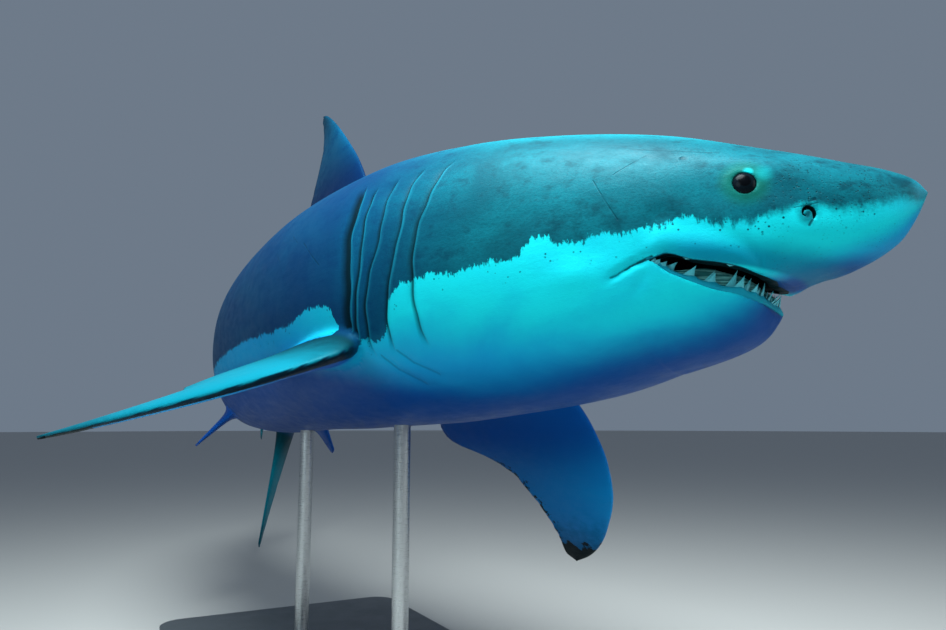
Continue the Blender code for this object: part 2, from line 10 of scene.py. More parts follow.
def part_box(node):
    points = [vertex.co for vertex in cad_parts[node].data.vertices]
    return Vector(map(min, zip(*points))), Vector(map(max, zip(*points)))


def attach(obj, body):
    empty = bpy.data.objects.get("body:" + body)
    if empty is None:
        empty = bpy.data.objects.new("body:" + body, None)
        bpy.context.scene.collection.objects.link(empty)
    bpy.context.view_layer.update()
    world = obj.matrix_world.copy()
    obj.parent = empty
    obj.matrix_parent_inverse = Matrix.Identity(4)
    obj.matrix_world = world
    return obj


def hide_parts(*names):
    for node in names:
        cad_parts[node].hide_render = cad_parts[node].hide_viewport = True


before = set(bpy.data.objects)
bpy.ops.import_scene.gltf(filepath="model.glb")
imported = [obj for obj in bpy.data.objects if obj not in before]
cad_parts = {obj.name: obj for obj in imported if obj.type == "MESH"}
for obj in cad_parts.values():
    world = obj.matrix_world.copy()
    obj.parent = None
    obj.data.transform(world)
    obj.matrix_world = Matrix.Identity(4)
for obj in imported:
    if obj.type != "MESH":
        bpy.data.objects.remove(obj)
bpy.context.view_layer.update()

# A point of the straight fish is (u, y, z): how far back from the snout tip, how far to its left and
# how far above its axis, all as shares of the body length. bendPoints puts it on the curved spine.
spine = {
    "length": 4.5,
    "girdle": 0.25,
    "girdlePlace": (0.597, 0.100, 1.180),
    "girdleTurn": (-3.2, -2.1, 14.8),
    "turnAt": (0.0, 0.12, 0.24, 0.36, 0.48, 0.60, 0.75, 0.90),
    "turnRate": (-0.97, -1.32, -1.32, -0.75, -0.98, -1.22, -2.00, -2.00),
    "riseAt": (0.0, 0.3, 0.6, 0.9),
    "riseRate": (-0.045, 0.095, 0.465, 0.022),
    "twistAt": (0.0, 0.25, 0.60, 0.85, 1.0),
    "twist": (0.051, 0.0, -0.026, -0.20, -0.30),
}
bodyLength = spine["length"]


# returns a function through the values that never overshoots them
def smoothCurve(stations, values):
    x = np.asarray(stations, float)
    y = np.asarray(values, float)
    step = np.diff(x)
    rise = np.diff(y) / step
    slope = np.zeros_like(y)
    slope[0], slope[-1] = rise[0], rise[-1]
    for i in range(1, len(x) - 1):
        if rise[i - 1] * rise[i] > 0:
            before = 2 * step[i] + step[i - 1]
            after = step[i] + 2 * step[i - 1]
            slope[i] = (before + after) / (before / rise[i - 1] + after / rise[i])

    def curve(at):
        at = np.clip(np.asarray(at, float), x[0], x[-1])
        i = np.clip(np.searchsorted(x, at, side="right") - 1, 0, len(x) - 2)
        t = (at - x[i]) / step[i]
        return (y[i] * (1 + 2 * t) * (1 - t) ** 2 + step[i] * slope[i] * t * (1 - t) ** 2
                + y[i + 1] * t * t * (3 - 2 * t) + step[i] * slope[i + 1] * t * t * (t - 1))

    return curve


def smoothStep(low, high, value):
    t = np.clip((np.asarray(value, float) - low) / (high - low), 0.0, 1.0)
    return t * t * (3 - 2 * t)


def bell(value, middle, width):
    return np.exp(-((value - middle) / width) ** 2)


# 1 inside the body, falling away along a fin
def rootFade(b, length):
    return np.exp(-np.maximum(b, 0) / length)


def makeSpinePath():
    at = np.linspace(0.0, 1.05, 421)
    step = at[1] - at[0]
    middle = int(round(spine["girdle"] / step))
    turn = np.cumsum(np.interp(at, spine["turnAt"], spine["turnRate"])) * step
    rise = np.cumsum(np.interp(at, spine["riseAt"], spine["riseRate"])) * step
    turn -= turn[middle]
    rise -= rise[middle]
    forward = np.stack([np.cos(turn) * np.cos(rise), np.sin(turn) * np.cos(rise), np.sin(rise)], 1)
    path = -np.cumsum(forward, 0) * step
    return at, turn, rise, path - path[middle]


spineAt, spineTurn, spineRise, spinePath = makeSpinePath()
girdleTurn = np.array(Euler([math.radians(a) for a in spine["girdleTurn"]], "XYZ").to_matrix())
girdlePlace = np.array(spine["girdlePlace"])


def spineFrames(u):
    turn = np.interp(u, spineAt, spineTurn)
    rise = np.interp(u, spineAt, spineRise)
    origin = np.stack([np.interp(u, spineAt, spinePath[:, i]) for i in range(3)], -1)
    forward = np.stack([np.cos(turn) * np.cos(rise), np.sin(turn) * np.cos(rise), np.sin(rise)], -1)
    left = np.stack([-np.sin(turn), np.cos(turn), np.zeros_like(turn)], -1)
    up = np.cross(forward, left)
    twist = np.interp(u, spine["twistAt"], spine["twist"])[..., None]
    return (origin, forward, np.cos(twist) * left + np.sin(twist) * up,
            np.cos(twist) * up - np.sin(twist) * left)


def toWorld(points):
    return girdlePlace + bodyLength * points @ girdleTurn.T


def bendPoints(u, y, z):
    u, y, z = np.broadcast_arrays(np.asarray(u, float), y, z)
    origin, _, left, up = spineFrames(u)
    return toWorld(origin + y[..., None] * left + z[..., None] * up)


# straight coordinates of points near the body
def unbendPoints(world):
    local = (world - girdlePlace) @ girdleTurn / bodyLength
    coarse = slice(None, None, 8)
    gap = np.linalg.norm(local[:, None, :] - spinePath[None, coarse, :], axis=2)
    u = spineAt[coarse][gap.argmin(1)]
    for _ in range(8):
        origin, forward, left, up = spineFrames(u)
        u = np.clip(u - 0.85 * ((local - origin) * forward).sum(1), 0.0, 1.05)
    origin, forward, left, up = spineFrames(u)
    off = local - origin
    return u - (off * forward).sum(1), (off * left).sum(1), (off * up).sum(1)


body = {
    # station, height above the axis, depth below it, half width
    "outline": (
        (0.000, 0.0030, -0.0030, 0.0000),
        (0.004, 0.0085, 0.0055, 0.0065),
        (0.012, 0.0135, 0.0165, 0.0130),
        (0.030, 0.0205, 0.0262, 0.0240),
        (0.049, 0.0278, 0.0318, 0.0336),
        (0.060, 0.0318, 0.0425, 0.0383),
        (0.100, 0.0465, 0.0635, 0.0531),
        (0.150, 0.0595, 0.0765, 0.0665),
        (0.200, 0.0695, 0.0819, 0.0755),
        (0.270, 0.0778, 0.0856, 0.0813),
        (0.350, 0.0800, 0.0853, 0.0796),
        (0.420, 0.0780, 0.0826, 0.0750),
        (0.500, 0.0735, 0.0795, 0.0689),
        (0.600, 0.0620, 0.0665, 0.0545),
        (0.700, 0.0437, 0.0456, 0.0382),
        (0.780, 0.0265, 0.0275, 0.0268),
        (0.830, 0.0190, 0.0190, 0.0240),
        (0.870, 0.0180, 0.0180, 0.0160),
    ),
    "boxiness": 0.92,            # 1 is an ellipse, less is fuller
    "snoutRise": 0.003,
    "snoutBlend": 0.012,
    "keel": (0.77, 0.84, 0.9),   # from and to station, and how sharp the stem's sides get
    "around": 224,               # points round a ring
    "coarseFrom": 0.375,         # behind this station every second line along the body goes
    "closeAt": 0.880,
    "seamPasses": (("fin", 10, 6), ("hollow", 4, 2)),        # smoothing one and two steps from a seam
    "endShrink": ((0.862, 0.868, 0.873, 0.877, 0.88), (1, 0.95, 0.8, 0.5, 0)),
}
outlineRows = list(zip(*body["outline"]))
bodyAbove = smoothCurve(outlineRows[0], outlineRows[1])
bodyBelow = smoothCurve(outlineRows[0], outlineRows[2])
bodyWidth = smoothCurve(outlineRows[0], outlineRows[3])


def power(value, exponent):
    return np.sign(value) * np.abs(value) ** exponent


def bodySection(u, angle):
    c, s = np.cos(angle), np.sin(angle)
    keelFrom, keelTo, sharpness = body["keel"]
    keel = sharpness * np.clip((u - keelFrom) / (keelTo - keelFrom), 0, 1)
    waist = body["snoutRise"] * np.clip(1 - u / body["snoutBlend"], 0, 1)
    tall = np.where(s > 0, bodyAbove(u) - waist, bodyBelow(u) + waist)
    y = power(c, body["boxiness"] + keel) * bodyWidth(u)
    z = waist + power(s, body["boxiness"]) * tall
    return y, np.where(z < 0, jawForm(u, z), z)


mouth = {
    "upperLip": ((0.0540, -0.0310), (0.0575, -0.0306), (0.060, -0.0300), (0.063, -0.0288),
                 (0.066, -0.0275), (0.0745, -0.0249), (0.084, -0.0232), (0.0935, -0.0202),
                 (0.1000, -0.0222), (0.128, -0.0235)),
    "lowerLip": ((0.0588, -0.0408), (0.063, -0.0404), (0.067, -0.0388), (0.0715, -0.0370),
                 (0.077, -0.0358), (0.086, -0.0319), (0.0935, -0.0279), (0.1005, -0.0226),
                 (0.1275, -0.0238)),
    "corner": 0.1005,
    "chinAt": 0.0616,
    "chinCurve": 3.4,            # how fast the jaw's front falls back to the sides
    # depth below the axis of the snout's flat underside, and of the lower jaw
    "snoutDepth": ((0.030, 0.0262), (0.040, 0.0300), (0.046, 0.0314), (0.050, 0.0314),
                   (0.054, 0.0311), (0.060, 0.0307), (0.065, 0.0306)),
    "jawDepth": ((0.058, 0.0420), (0.0616, 0.0440), (0.064, 0.0474), (0.067, 0.0516),
                 (0.071, 0.0550), (0.080, 0.0592), (0.092, 0.0628), (0.108, 0.0667)),
    "step": (0.0588, 0.0612),    # where the snout's underside gives way to the jaw
    "noseDrop": (0.012, 0.028, 0.044),   # extra depth ahead of the flat part, and where it fades
    "floorSoft": 0.006,
    "throatEnd": 0.122,          # how far back the hollow of the mouth reaches
    "rim": 0.0075,               # width of the jaws round that hollow
    "roofRise": 0.0085,
    "floorDrop": 0.0095,
    "sheetLow": (-0.0440, -0.0660),      # heights of the cut's lower corners ahead of the chin
    "halfAcross": 0.072,
    # the full upper lip and the hollow over it: distance over the mouth line, width and height in metres
    "lipForms": ((0.018, 0.016, 0.0050), (0.052, 0.014, -0.0025)),
}
upperLipHeight, lowerLipHeight, snoutDepth, jawDepth = (
    smoothCurve(*zip(*mouth[table])) for table in ("upperLip", "lowerLip", "snoutDepth", "jawDepth"))


# the lower half of a section: cut flat under the snout, hanging lower at the jaw
def jawForm(u, z):
    depth = np.maximum(bodyBelow(u), 1e-4)
    low = np.abs(z)
    onJaw = smoothStep(*mouth["step"], u)
    hang = np.where(u > mouth["jawDepth"][-1][0], 1.0, jawDepth(u) / depth)
    jaw = low * (1 + (hang - 1) * (low / depth) ** 2)
    drop, fadeFrom, fadeTo = mouth["noseDrop"]
    floor = snoutDepth(u) + drop * (1 - smoothStep(fadeFrom, fadeTo, u))
    soft = mouth["floorSoft"]
    mixing = np.maximum(soft - np.abs(low - floor), 0) / soft
    snout = np.minimum(low, floor) - mixing ** 2 * soft / 4
    return -(snout + (jaw - snout) * onJaw)


def chinDepth(u):
    return -jawForm(u, -bodyBelow(u))


# half width of the body at height z
def edgeWidth(u, z):
    depth = bodyBelow(u)
    low, high = 0 * depth, depth
    for _ in range(20):
        middle = (low + high) / 2
        inside = jawForm(u, -middle) > z
        low, high = np.where(inside, middle, low), np.where(inside, high, middle)
    share = np.clip(low / depth, 0, 1) ** (1 / body["boxiness"])
    return bodyWidth(u) * np.sqrt(1 - share ** 2) ** body["boxiness"]


surfaces = {"body": 0, "fin": 1, "hollow": 2}


def vertexArray(mesh):
    flat = np.zeros(len(mesh.vertices) * 3)
    mesh.vertices.foreach_get("co", flat)
    return flat.reshape(-1, 3)


# a grid rolled into a tube: place(s, t) gives world points, t running once round
def gridMesh(along, around, place):
    bm = bmesh.new()
    bmesh.ops.create_grid(bm, x_segments=along, y_segments=around, size=1.0)
    mesh = bpy.data.meshes.new("grid")
    bm.to_mesh(mesh)
    bm.free()
    flat = vertexArray(mesh)
    s = np.rint((flat[:, 0] + 1) / 2 * along) / along
    t = (np.rint((flat[:, 1] + 1) / 2 * around) / around) % 1.0
    mesh.vertices.foreach_set("co", place(s, t).astype(np.float32).ravel())
    bm = bmesh.new()
    bm.from_mesh(mesh)
    bpy.data.meshes.remove(mesh)
    return bm


def closeTube(bm, weld=1e-5):
    bmesh.ops.remove_doubles(bm, verts=bm.verts, dist=weld)
    bmesh.ops.holes_fill(bm, edges=bm.edges)
    caps = [f for f in bm.faces if len(f.verts) > 5]
    bmesh.ops.triangulate(bm, faces=caps)
    bmesh.ops.recalc_face_normals(bm, faces=bm.faces)
    return bm


def addObject(name, data):
    obj = bpy.data.objects.new(name, data)
    bpy.context.scene.collection.objects.link(obj)
    return obj


def asObject(name, bm, smooth=True):
    mesh = bpy.data.meshes.new(name)
    bm.to_mesh(mesh)
    bm.free()
    if smooth:
        mesh.shade_smooth()
    return addObject(name, mesh)


# an object of one kind of surface, with a slot for each so that booleans keep the kinds apart
def asSurface(name, bm, kind):
    for face in bm.faces:
        face.material_index = surfaces[kind]
    obj = asObject(name, bm)
    for _ in surfaces:
        obj.data.materials.append(None)
    return obj


# adds a finished mesh to another
def joinInto(bm, other):
    mesh = bpy.data.meshes.new("part")
    other.to_mesh(mesh)
    other.free()
    bm.from_mesh(mesh)
    bpy.data.meshes.remove(mesh)


def combine(obj, other, operation):
    mod = obj.modifiers.new("combine", "BOOLEAN")
    mod.operation = operation
    mod.solver = "EXACT"
    mod.object = other
    bpy.context.view_layer.update()
    solid = obj.evaluated_get(bpy.context.evaluated_depsgraph_get())
    result = bpy.data.meshes.new_from_object(solid)
    obj.modifiers.clear()
    old = obj.data
    obj.data = result
    bpy.data.meshes.remove(old)
    bpy.data.meshes.remove(other.data)


gills = {
    "angles": (-35, -21, -8, 4, 16, 36),
    # stations of each slit at those angles, from the foot to the top
    "slits": ((0.2075, 0.2075, 0.2062, 0.2030, 0.1995, 0.1950),
              (0.2290, 0.2255, 0.2195, 0.2145, 0.2138, 0.2118),
              (0.2435, 0.2405, 0.2338, 0.2278, 0.2268, 0.2265),
              (0.2535, 0.2478, 0.2422, 0.2400, 0.2398, 0.2410),
              (0.2600, 0.2522, 0.2485, 0.2488, 0.2480, 0.2530)),
    "tops": (37, 35, 31, 28, 31),
    "lines": (0.2035, 0.2190, 0.2325, 0.2440, 0.2520),          # where each lies on the ring scale
    "zone": (0.186, 0.276),
    "rise": 0.0022,
    "depth": 0.0110,
    "recover": 0.0030,
    "wander": 0.0006,
    "swell": 0.0035,             # how far ahead of a slit its flap starts to rise
    "line": (-0.00025, 0.0014, 0.0036),  # the painted shade of a slit: start, full to, gone at
    "lastReach": 2.4,            # the last slit lies in shadow, so its painted shade reaches further back
    "edge": (-0.0010, 0.0005),   # a painted highlight along the flap's edge: middle and width
}

eyes = {
    "at": 0.0633, "angle": 12.0, "radii": (0.0232, 0.0150, 0.0238), "sink": 0.0082,
    "slack": 0.0006,             # room between ball and socket
    "segments": 96,
    "socketSegments": 72,
    "rim": (0.0270, 0.0050, 0.0016),     # radius, width and height of the swelling round it
    # paint: a ring (inner and outer radius, strength), and pale patches of painted highlight over and ahead
    # of the eye
    "ring": (0.026, 0.056, 0.60),
    "brow": (((-0.009, 0, 0.0225), (0.004, 0.0145, 1.0)), ((-0.038, 0, 0.020), (0.006, 0.030, 0.55))),
}
nostril = {
    "at": 0.042, "angle": -12.0,
    # the slit's line, forward and up from that spot, and its half width, in metres
    "line": ((-0.0036, -0.0042, 0.0016), (-0.0098, 0.0004, 0.0016), (-0.0074, 0.0080, 0.0026),
             (0.0006, 0.0118, 0.0037), (0.0080, 0.0066, 0.0039), (0.0112, -0.0020, 0.0035),
             (0.0084, -0.0122, 0.0012)),
    "depth": 0.0110,
    "halo": (0.008, 0.026, 0.75),        # dark paint round it: inner and outer radius, strength
}


def ringStations():
    near = [0.012 * (i / 10) ** 1.7 for i in range(10)]
    head = list(np.arange(0.012, 0.134, 0.00105))
    cheek = list(np.arange(0.135, 0.186, 0.0022))
    offsets = (-0.0055, -0.0030, -0.0016, -0.0007, -0.0001, 0.0003, 0.0009, 0.0018, 0.0032, 0.0052)
    gill = [line + step for line in gills["lines"] for step in offsets]
    gill += list(np.arange(0.187, 0.276, 0.0028))
    gill.sort()
    apart = [gill[0]]
    for value in gill[1:]:
        if value - apart[-1] > 0.00035:
            apart.append(value)
    shoulder = list(np.arange(0.277, 0.374, 0.0030))
    trunk = list(np.arange(0.375, 0.862, 0.0052))
    end = [0.862, 0.868, 0.873, 0.877]
    return np.array(near + head + cheek + apart + shoulder + trunk + end + [body["closeAt"]])


slitCurves = [smoothCurve(gills["angles"], slit) for slit in gills["slits"]]


# where each gill slit lies at an angle round the body
def slitStations(degrees):
    return [curve(degrees) + gills["wander"] * np.sin(degrees * 0.37 + 2.1 * i) * np.sin(degrees * 0.13 + i)
            for i, curve in enumerate(slitCurves)]


# how far each slit is open at an angle, 0 to 1
def slitWindow(degrees, i):
    foot, top = gills["angles"][0], gills["tops"][i]
    return smoothStep(foot - 3, foot + 6, degrees) * (1 - smoothStep(top - 6, top + 1, degrees))


# moves ring stations so that the rings run along the gill slits
def gillWarp(line, degrees):
    start, end = gills["zone"]
    knots = np.stack([np.full_like(degrees, start), *slitStations(degrees), np.full_like(degrees, end)], -1)
    lines = (start, *gills["lines"], end)
    warped = line.copy()
    for i in range(len(lines) - 1):
        low, high = lines[i], lines[i + 1]
        inside = (line >= low) & (line < high)
        share = (line - low) / (high - low)
        value = knots[..., i] + (knots[..., i + 1] - knots[..., i]) * share
        warped = np.where(inside, value, warped)
    return warped


# shingled flaps: a raised edge, a drop, and a slow return behind each slit
def gillRelief(line, degrees):
    relief = np.zeros_like(line)
    for i, at in enumerate(gills["lines"]):
        behind = line - at
        scale = gills["recover"] * (1.0 if i < 3 else 0.8)
        ahead = gills["rise"] * np.exp(np.minimum(behind, 0) / gills["swell"])
        drop = -gills["depth"] * np.exp(-np.maximum(behind, 0) / scale)
        fade = 1 + 0.12 * np.sin(degrees * 0.21 + i * 1.7)
        relief += slitWindow(degrees, i) * fade * np.where(behind < 0, ahead, drop)
    return relief


# a soft swelling or hollow of the head
def hump(u, degrees, at, angle, length, spread, height):
    return height * bell(u, at, length) * bell(degrees, angle, spread)


headForms = (
    # station, angle, length, spread, height in metres
    (0.060, 30, 0.020, 11, 0.0060),      # brow over the eye
    (0.078, 4, 0.012, 9, -0.0030),       # hollow behind the eye
    (0.050, 6, 0.012, 10, -0.0035),      # hollow ahead of the eye
    (0.042, -24, 0.010, 9, 0.0030),      # pad under the nostril
    (0.030, -40, 0.016, 20, 0.0030),     # full underside of the snout
    (0.125, -38, 0.030, 18, 0.0080),     # jaw muscle
    (0.118, -12, 0.016, 9, -0.0030),     # hollow over the mouth corner
    (0.165, 20, 0.035, 30, -0.0040),     # flatter side of the nape
    (0.128, -20, 0.012, 5, 0.0045),      # fold behind the mouth corner
)


# distance of points from a line
def segmentDistance(px, py, ax, ay, bx, by):
    dx, dy = bx - ax, by - ay
    t = np.clip(((px - ax) * dx + (py - ay) * dy) / (dx * dx + dy * dy), 0, 1)
    return np.hypot(px - ax - t * dx, py - ay - t * dy)


# a groove along a path of (station, angle) points, fading at its ends, in metres
def crease(u, degrees, path, width, depth):
    px, py = u * bodyLength, np.radians(degrees) * headRadius
    points = [(at * bodyLength, math.radians(angle) * headRadius) for at, angle in path]
    nearest = np.min([segmentDistance(px, py, *a, *b) for a, b in zip(points, points[1:])], axis=0)
    first, last = (np.hypot(px - x, py - y) for x, y in (points[0], points[-1]))
    fade = smoothStep(0, creaseFade, np.minimum(first, last) + 0.006)
    return -depth * fade * bell(nearest, 0, width)


headCreases = (
    # path, width and depth in metres
    (((0.0965, -18.0), (0.101, -18.3), (0.106, -19.5), (0.111, -21.5), (0.117, -24)), 0.0042, 0.0110),
    (((0.0995, -22.0), (0.104, -27), (0.108, -33)), 0.0080, 0.0020),
    (((0.228, -37), (0.220, -44), (0.209, -52)), 0.0080, 0.0035),
    (((0.238, -38), (0.232, -46), (0.222, -56)), 0.0080, 0.0030),
)
headRadius = 0.055 * bodyLength          # about, to turn angles into distances
creaseFade = 0.030                       # metres over which a groove fades in


def headRelief(u, degrees):
    relief = np.zeros_like(u)
    for at, angle, length, spread, height in headForms:
        relief += hump(u, degrees, at, angle, length, spread, height)
    for path, width, depth in headCreases:
        relief += crease(u, degrees, path, width, depth)
    radius = np.interp(eyes["at"], outlineRows[0], outlineRows[3]) * bodyLength
    gap = np.hypot((u - eyes["at"]) * bodyLength, np.radians(degrees - eyes["angle"]) * radius)
    rimRadius, rimWidth, rimHeight = eyes["rim"]
    relief += rimHeight * bell(gap, rimRadius, rimWidth)
    lip = np.degrees(np.arcsin(np.clip(upperLipHeight(u) / chinDepth(u), -1, 1)))
    above = (degrees - lip) * math.pi / 180 * 0.045 * bodyLength
    onLip = smoothStep(0.050, 0.060, u) * (1 - smoothStep(0.096, 0.104, u))
    for middle, width, height in mouth["lipForms"]:
        relief += onLip * height * bell(above, middle, width)
    return relief * smoothStep(0, 0.008, u)


def buildBodyTube():
    stations = ringStations()
    count = len(stations) - 1
    around = body["around"]

    def place(s, t):
        line = stations[np.rint(s * count).astype(int)]
        angle = (t - 0.25) * 2 * math.pi
        degrees = np.degrees(np.arcsin(np.sin(angle)))
        u = gillWarp(line, degrees)
        y, z = bodySection(u, angle)
        lift = headRelief(u, degrees) + gillRelief(line, degrees)
        tall = np.where(z > 0, bodyAbove(u), chinDepth(u))
        ny = y / np.maximum(bodyWidth(u), 1e-4) ** 2
        nz = z / np.maximum(np.abs(tall), 1e-4) ** 2
        size = np.maximum(np.hypot(ny, nz), 1e-9)
        y = y + ny / size * lift / bodyLength
        z = z + nz / size * lift / bodyLength
        last = line >= body["closeAt"] - 1e-9
        shrink = np.where(last, 0.0, np.interp(line, *body["endShrink"]))
        return bendPoints(u, y * shrink, z * shrink)

    bm = gridMesh(count, around, place)
    coarse = int(np.searchsorted(stations, body["coarseFrom"]))
    extra = []
    for edge in bm.edges:
        (rowA, a), (rowB, b) = (divmod(vert.index, count + 1) for vert in edge.verts)
        if rowA == rowB and rowA % 2 == 1 and min(a, b) >= coarse:
            extra.append(edge)
    bmesh.ops.dissolve_edges(bm, edges=extra, use_verts=True)
    return closeTube(bm)


# half thickness along a fin's chord, 1 at the thickest
def foil(share):
    c = np.clip(share, 0, 1)
    return 5 * (0.2969 * np.sqrt(c) - 0.126 * c - 0.3516 * c ** 2 + 0.2843 * c ** 3 - 0.1036 * c ** 4)


chordSteps = np.array([0, 0.003, 0.010, 0.022, 0.042, 0.072, 0.115, 0.17, 0.24, 0.32, 0.41, 0.50, 0.60,
                       0.70, 0.79, 0.87, 0.93, 0.97, 1.0])
finEdge = 0.0010                 # half thickness of a rear edge, in metres


# small nicks and waves of a worn rear edge
def ragged(b, seed, size):
    wave = 0.5 * np.sin(b * 310 + seed) + 0.35 * np.sin(b * 730 + seed * 2.3)
    nick = np.maximum(np.sin(b * 205 + seed * 1.7), 0) ** 14 + np.maximum(np.sin(b * 137 + seed), 0) ** 22
    return size * (0.25 * wave - nick)


# a fin whose edges lie at stations edges(b), b running outwards; place(station, b, height) puts it
def finMesh(spans, edges, thickness, place):
    chord = np.concatenate([chordSteps[::-1], chordSteps[1:]])
    face = np.concatenate([np.ones(len(chordSteps) - 1), [0], -np.ones(len(chordSteps) - 1)])
    spans = np.asarray(spans)
    count = len(spans) - 1

    def put(s, t):
        b = spans[np.rint(s * count).astype(int)]
        i = np.rint(t * len(chord)).astype(int) % len(chord)
        front, rear = edges(b)
        half = np.maximum(foil(chord[i]) * thickness(b), finEdge / bodyLength)
        return place(front + (rear - front) * chord[i], b, face[i] * half)

    return closeTube(gridMesh(count, len(chord), put), 1e-6)


# rounds a fin's tip off and keeps its edges apart
def tipEdges(front, rear, roundTip, share, least):
    return front + roundTip, np.maximum(rear - share * roundTip, front + roundTip + least)


# stations from inside the body out to the tip
def spanSteps(reach, count, sunk):
    root = [sunk - sunk * i / 4 for i in range(4)]
    blade = [reach * (1 - (1 - i / count) ** 1.4) for i in range(count)]
    return root + blade + [reach * 0.985, reach * 0.996, reach]


pectoral = {
    "at": 0.260, "angle": -32.0, "thick": 0.0125, "tipThick": 0.0022, "flare": 0.008, "sunk": -0.035,
    "pose": {"right": (23.8, 47.1, 0.1880), "left": (48.5, 18.2, 0.1880)},   # droop, sweep, front edge
    # span share and how far each edge lies behind the fin's swept middle line
    "front": ((0.0, -0.004), (0.06, -0.0150), (0.12, -0.0265), (0.18, -0.0335), (0.285, -0.0381),
              (0.43, -0.0407), (0.51, -0.0402), (0.60, -0.0389), (0.685, -0.0357), (0.76, -0.0314),
              (0.84, -0.0267), (0.91, -0.0204), (0.965, -0.0120), (1.0, -0.0010)),
    "rear": ((0.0, 0.076), (0.10, 0.098), (0.18, 0.110), (0.24, 0.1150), (0.29, 0.1130),
             (0.33, 0.1060), (0.355, 0.0970), (0.38, 0.0865), (0.41, 0.0755), (0.455, 0.0625),
             (0.52, 0.0510), (0.62, 0.0400), (0.70, 0.0320), (0.785, 0.0245), (0.885, 0.0165),
             (0.96, 0.0110), (1.0, 0.0010)),
}
pectoralFront, pectoralRear = (smoothCurve(*zip(*pectoral[edge])) for edge in ("front", "rear"))


# where a pectoral starts, its ways outwards and across its plane, and how far its tip lies back and out
def pectoralFrame(side):
    droop, sweep, reach = pectoral["pose"][side]
    droop, sweep = math.radians(droop), math.radians(sweep)
    out = 1 if side == "left" else -1
    angle = math.radians(pectoral["angle"])
    y, z = bodySection(np.array(pectoral["at"]), angle)
    root = np.array([0.0, out * float(y), float(z)])
    spanWay = np.array([0.0, out * math.cos(droop), -math.sin(droop)])
    faceWay = np.array([0.0, out * math.sin(droop), math.cos(droop)])
    origin, *axes = spineFrames(np.array(pectoral["at"]))
    return root, spanWay, faceWay, origin, np.stack(axes), reach * math.sin(sweep), reach * math.cos(sweep)


def pectoralEdges(b, tipBack, tipOut, seed=0.0, rough=0.0):
    t = np.clip(b / tipOut, 0, 1)
    sway = tipBack * (0.5 * t + 0.5 * t ** 3)
    front = sway + pectoralFront(t) - 0.006 * rootFade(b, 0.008)
    rear = sway + pectoralRear(t) + ragged(b, seed, rough) * smoothStep(0.3, 0.45, t)
    return front, np.maximum(rear, front + 0.0012)


def buildPectoral(side):
    root, spanWay, faceWay, origin, axes, tipBack, tipOut = pectoralFrame(side)

    def edges(b):
        return pectoralEdges(b, tipBack, tipOut, 1.3 if side == "left" else 4.1, 0.0012)

    def thickness(b):
        t = np.clip(b / tipOut, 0, 1)
        flare = pectoral["flare"] * rootFade(b, 0.010)
        return pectoral["thick"] * (1 - t) ** 0.8 + pectoral["tipThick"] + flare

    def place(a, b, h):
        local = root + np.stack([-a, 0 * a, 0 * a], -1) + b[:, None] * spanWay + h[:, None] * faceWay
        return toWorld(origin + local @ axes)

    return finMesh(spanSteps(tipOut, 46, pectoral["sunk"]), edges, thickness, place)


uprightFins = {
    # start, base, height, tip station, thickness, side, steps, and how far the rear corner trails
    "firstDorsal": (0.360, 0.117, 0.1215, 0.4650, 0.0130, 1, 34, 0.0),     # outlined below
    "secondDorsal": (0.737, 0.016, 0.0160, 0.7600, 0.0040, 1, 12, 0.012),
    "anal": (0.753, 0.015, 0.0170, 0.7760, 0.0040, -1, 12, 0.012),
}
# height and station of the first dorsal's edges
dorsal = {
    "front": ((0.0, 0.3600), (0.0267, 0.3700), (0.0503, 0.3855), (0.0662, 0.3995), (0.0837, 0.4163),
              (0.1012, 0.4345), (0.1155, 0.4520), (0.1200, 0.4590), (0.1215, 0.4640)),
    "rear": ((0.0, 0.4800), (0.010, 0.4960), (0.019, 0.5010), (0.030, 0.4965), (0.044, 0.4865),
             (0.0524, 0.4805), (0.061, 0.4745), (0.0753, 0.4660), (0.088, 0.4610), (0.097, 0.4605),
             (0.110, 0.4640), (0.118, 0.4668), (0.1215, 0.4655)),
}
dorsalFront, dorsalRear = (smoothCurve(*zip(*dorsal[edge])) for edge in ("front", "rear"))


# stations of the front and rear edge at height b
def uprightEdges(name, b):
    start, base, reach, tipAt, thick, up, steps, trail = uprightFins[name]
    if name == "firstDorsal":
        b = np.clip(b, -0.03, reach)
        front = dorsalFront(np.maximum(b, 0)) - 0.007 * rootFade(b, 0.006)
        rear = dorsalRear(np.maximum(b, 0)) + ragged(b, 2.2, 0.0009) * smoothStep(0.03, 0.05, b)
        return front, np.maximum(rear, front + 0.0015)
    t = np.clip(b / reach, 0, 1)
    front = start + (tipAt - start) * t ** 1.8 - 0.07 * reach * rootFade(b, 0.006)
    rearRoot = start + base
    rear = rearRoot + (tipAt + 0.006 - rearRoot) * t ** 0.62 + trail * bell(t, 0.06, 0.14)
    return tipEdges(front, rear, 0.10 * base * smoothStep(0.95, 1.0, t) ** 2, 0.4, 0.0015)


def buildUprightFin(name):
    start, base, reach, tipAt, thick, up, steps, trail = uprightFins[name]
    rootAt = start + base / 2
    root = float(bodyAbove(rootAt)) if up > 0 else -float(bodyBelow(rootAt))

    def thickness(b):
        t = np.clip(b / reach, 0, 1)
        flare = 0.5 * thick * rootFade(b, 0.07 * reach)
        return thick * (1 - 0.82 * t) + flare

    def place(u, b, h):
        return bendPoints(u, h, root + up * b)

    return finMesh(spanSteps(reach, steps, -0.022), lambda b: uprightEdges(name, b), thickness, place)


pelvic = {"at": 0.540, "base": 0.046, "tipAt": 0.600, "angle": -52.0, "droop": 48.0, "reach": 0.0370,
          "thick": 0.0075, "tipChord": 0.014, "flare": 0.004, "trail": 0.012}


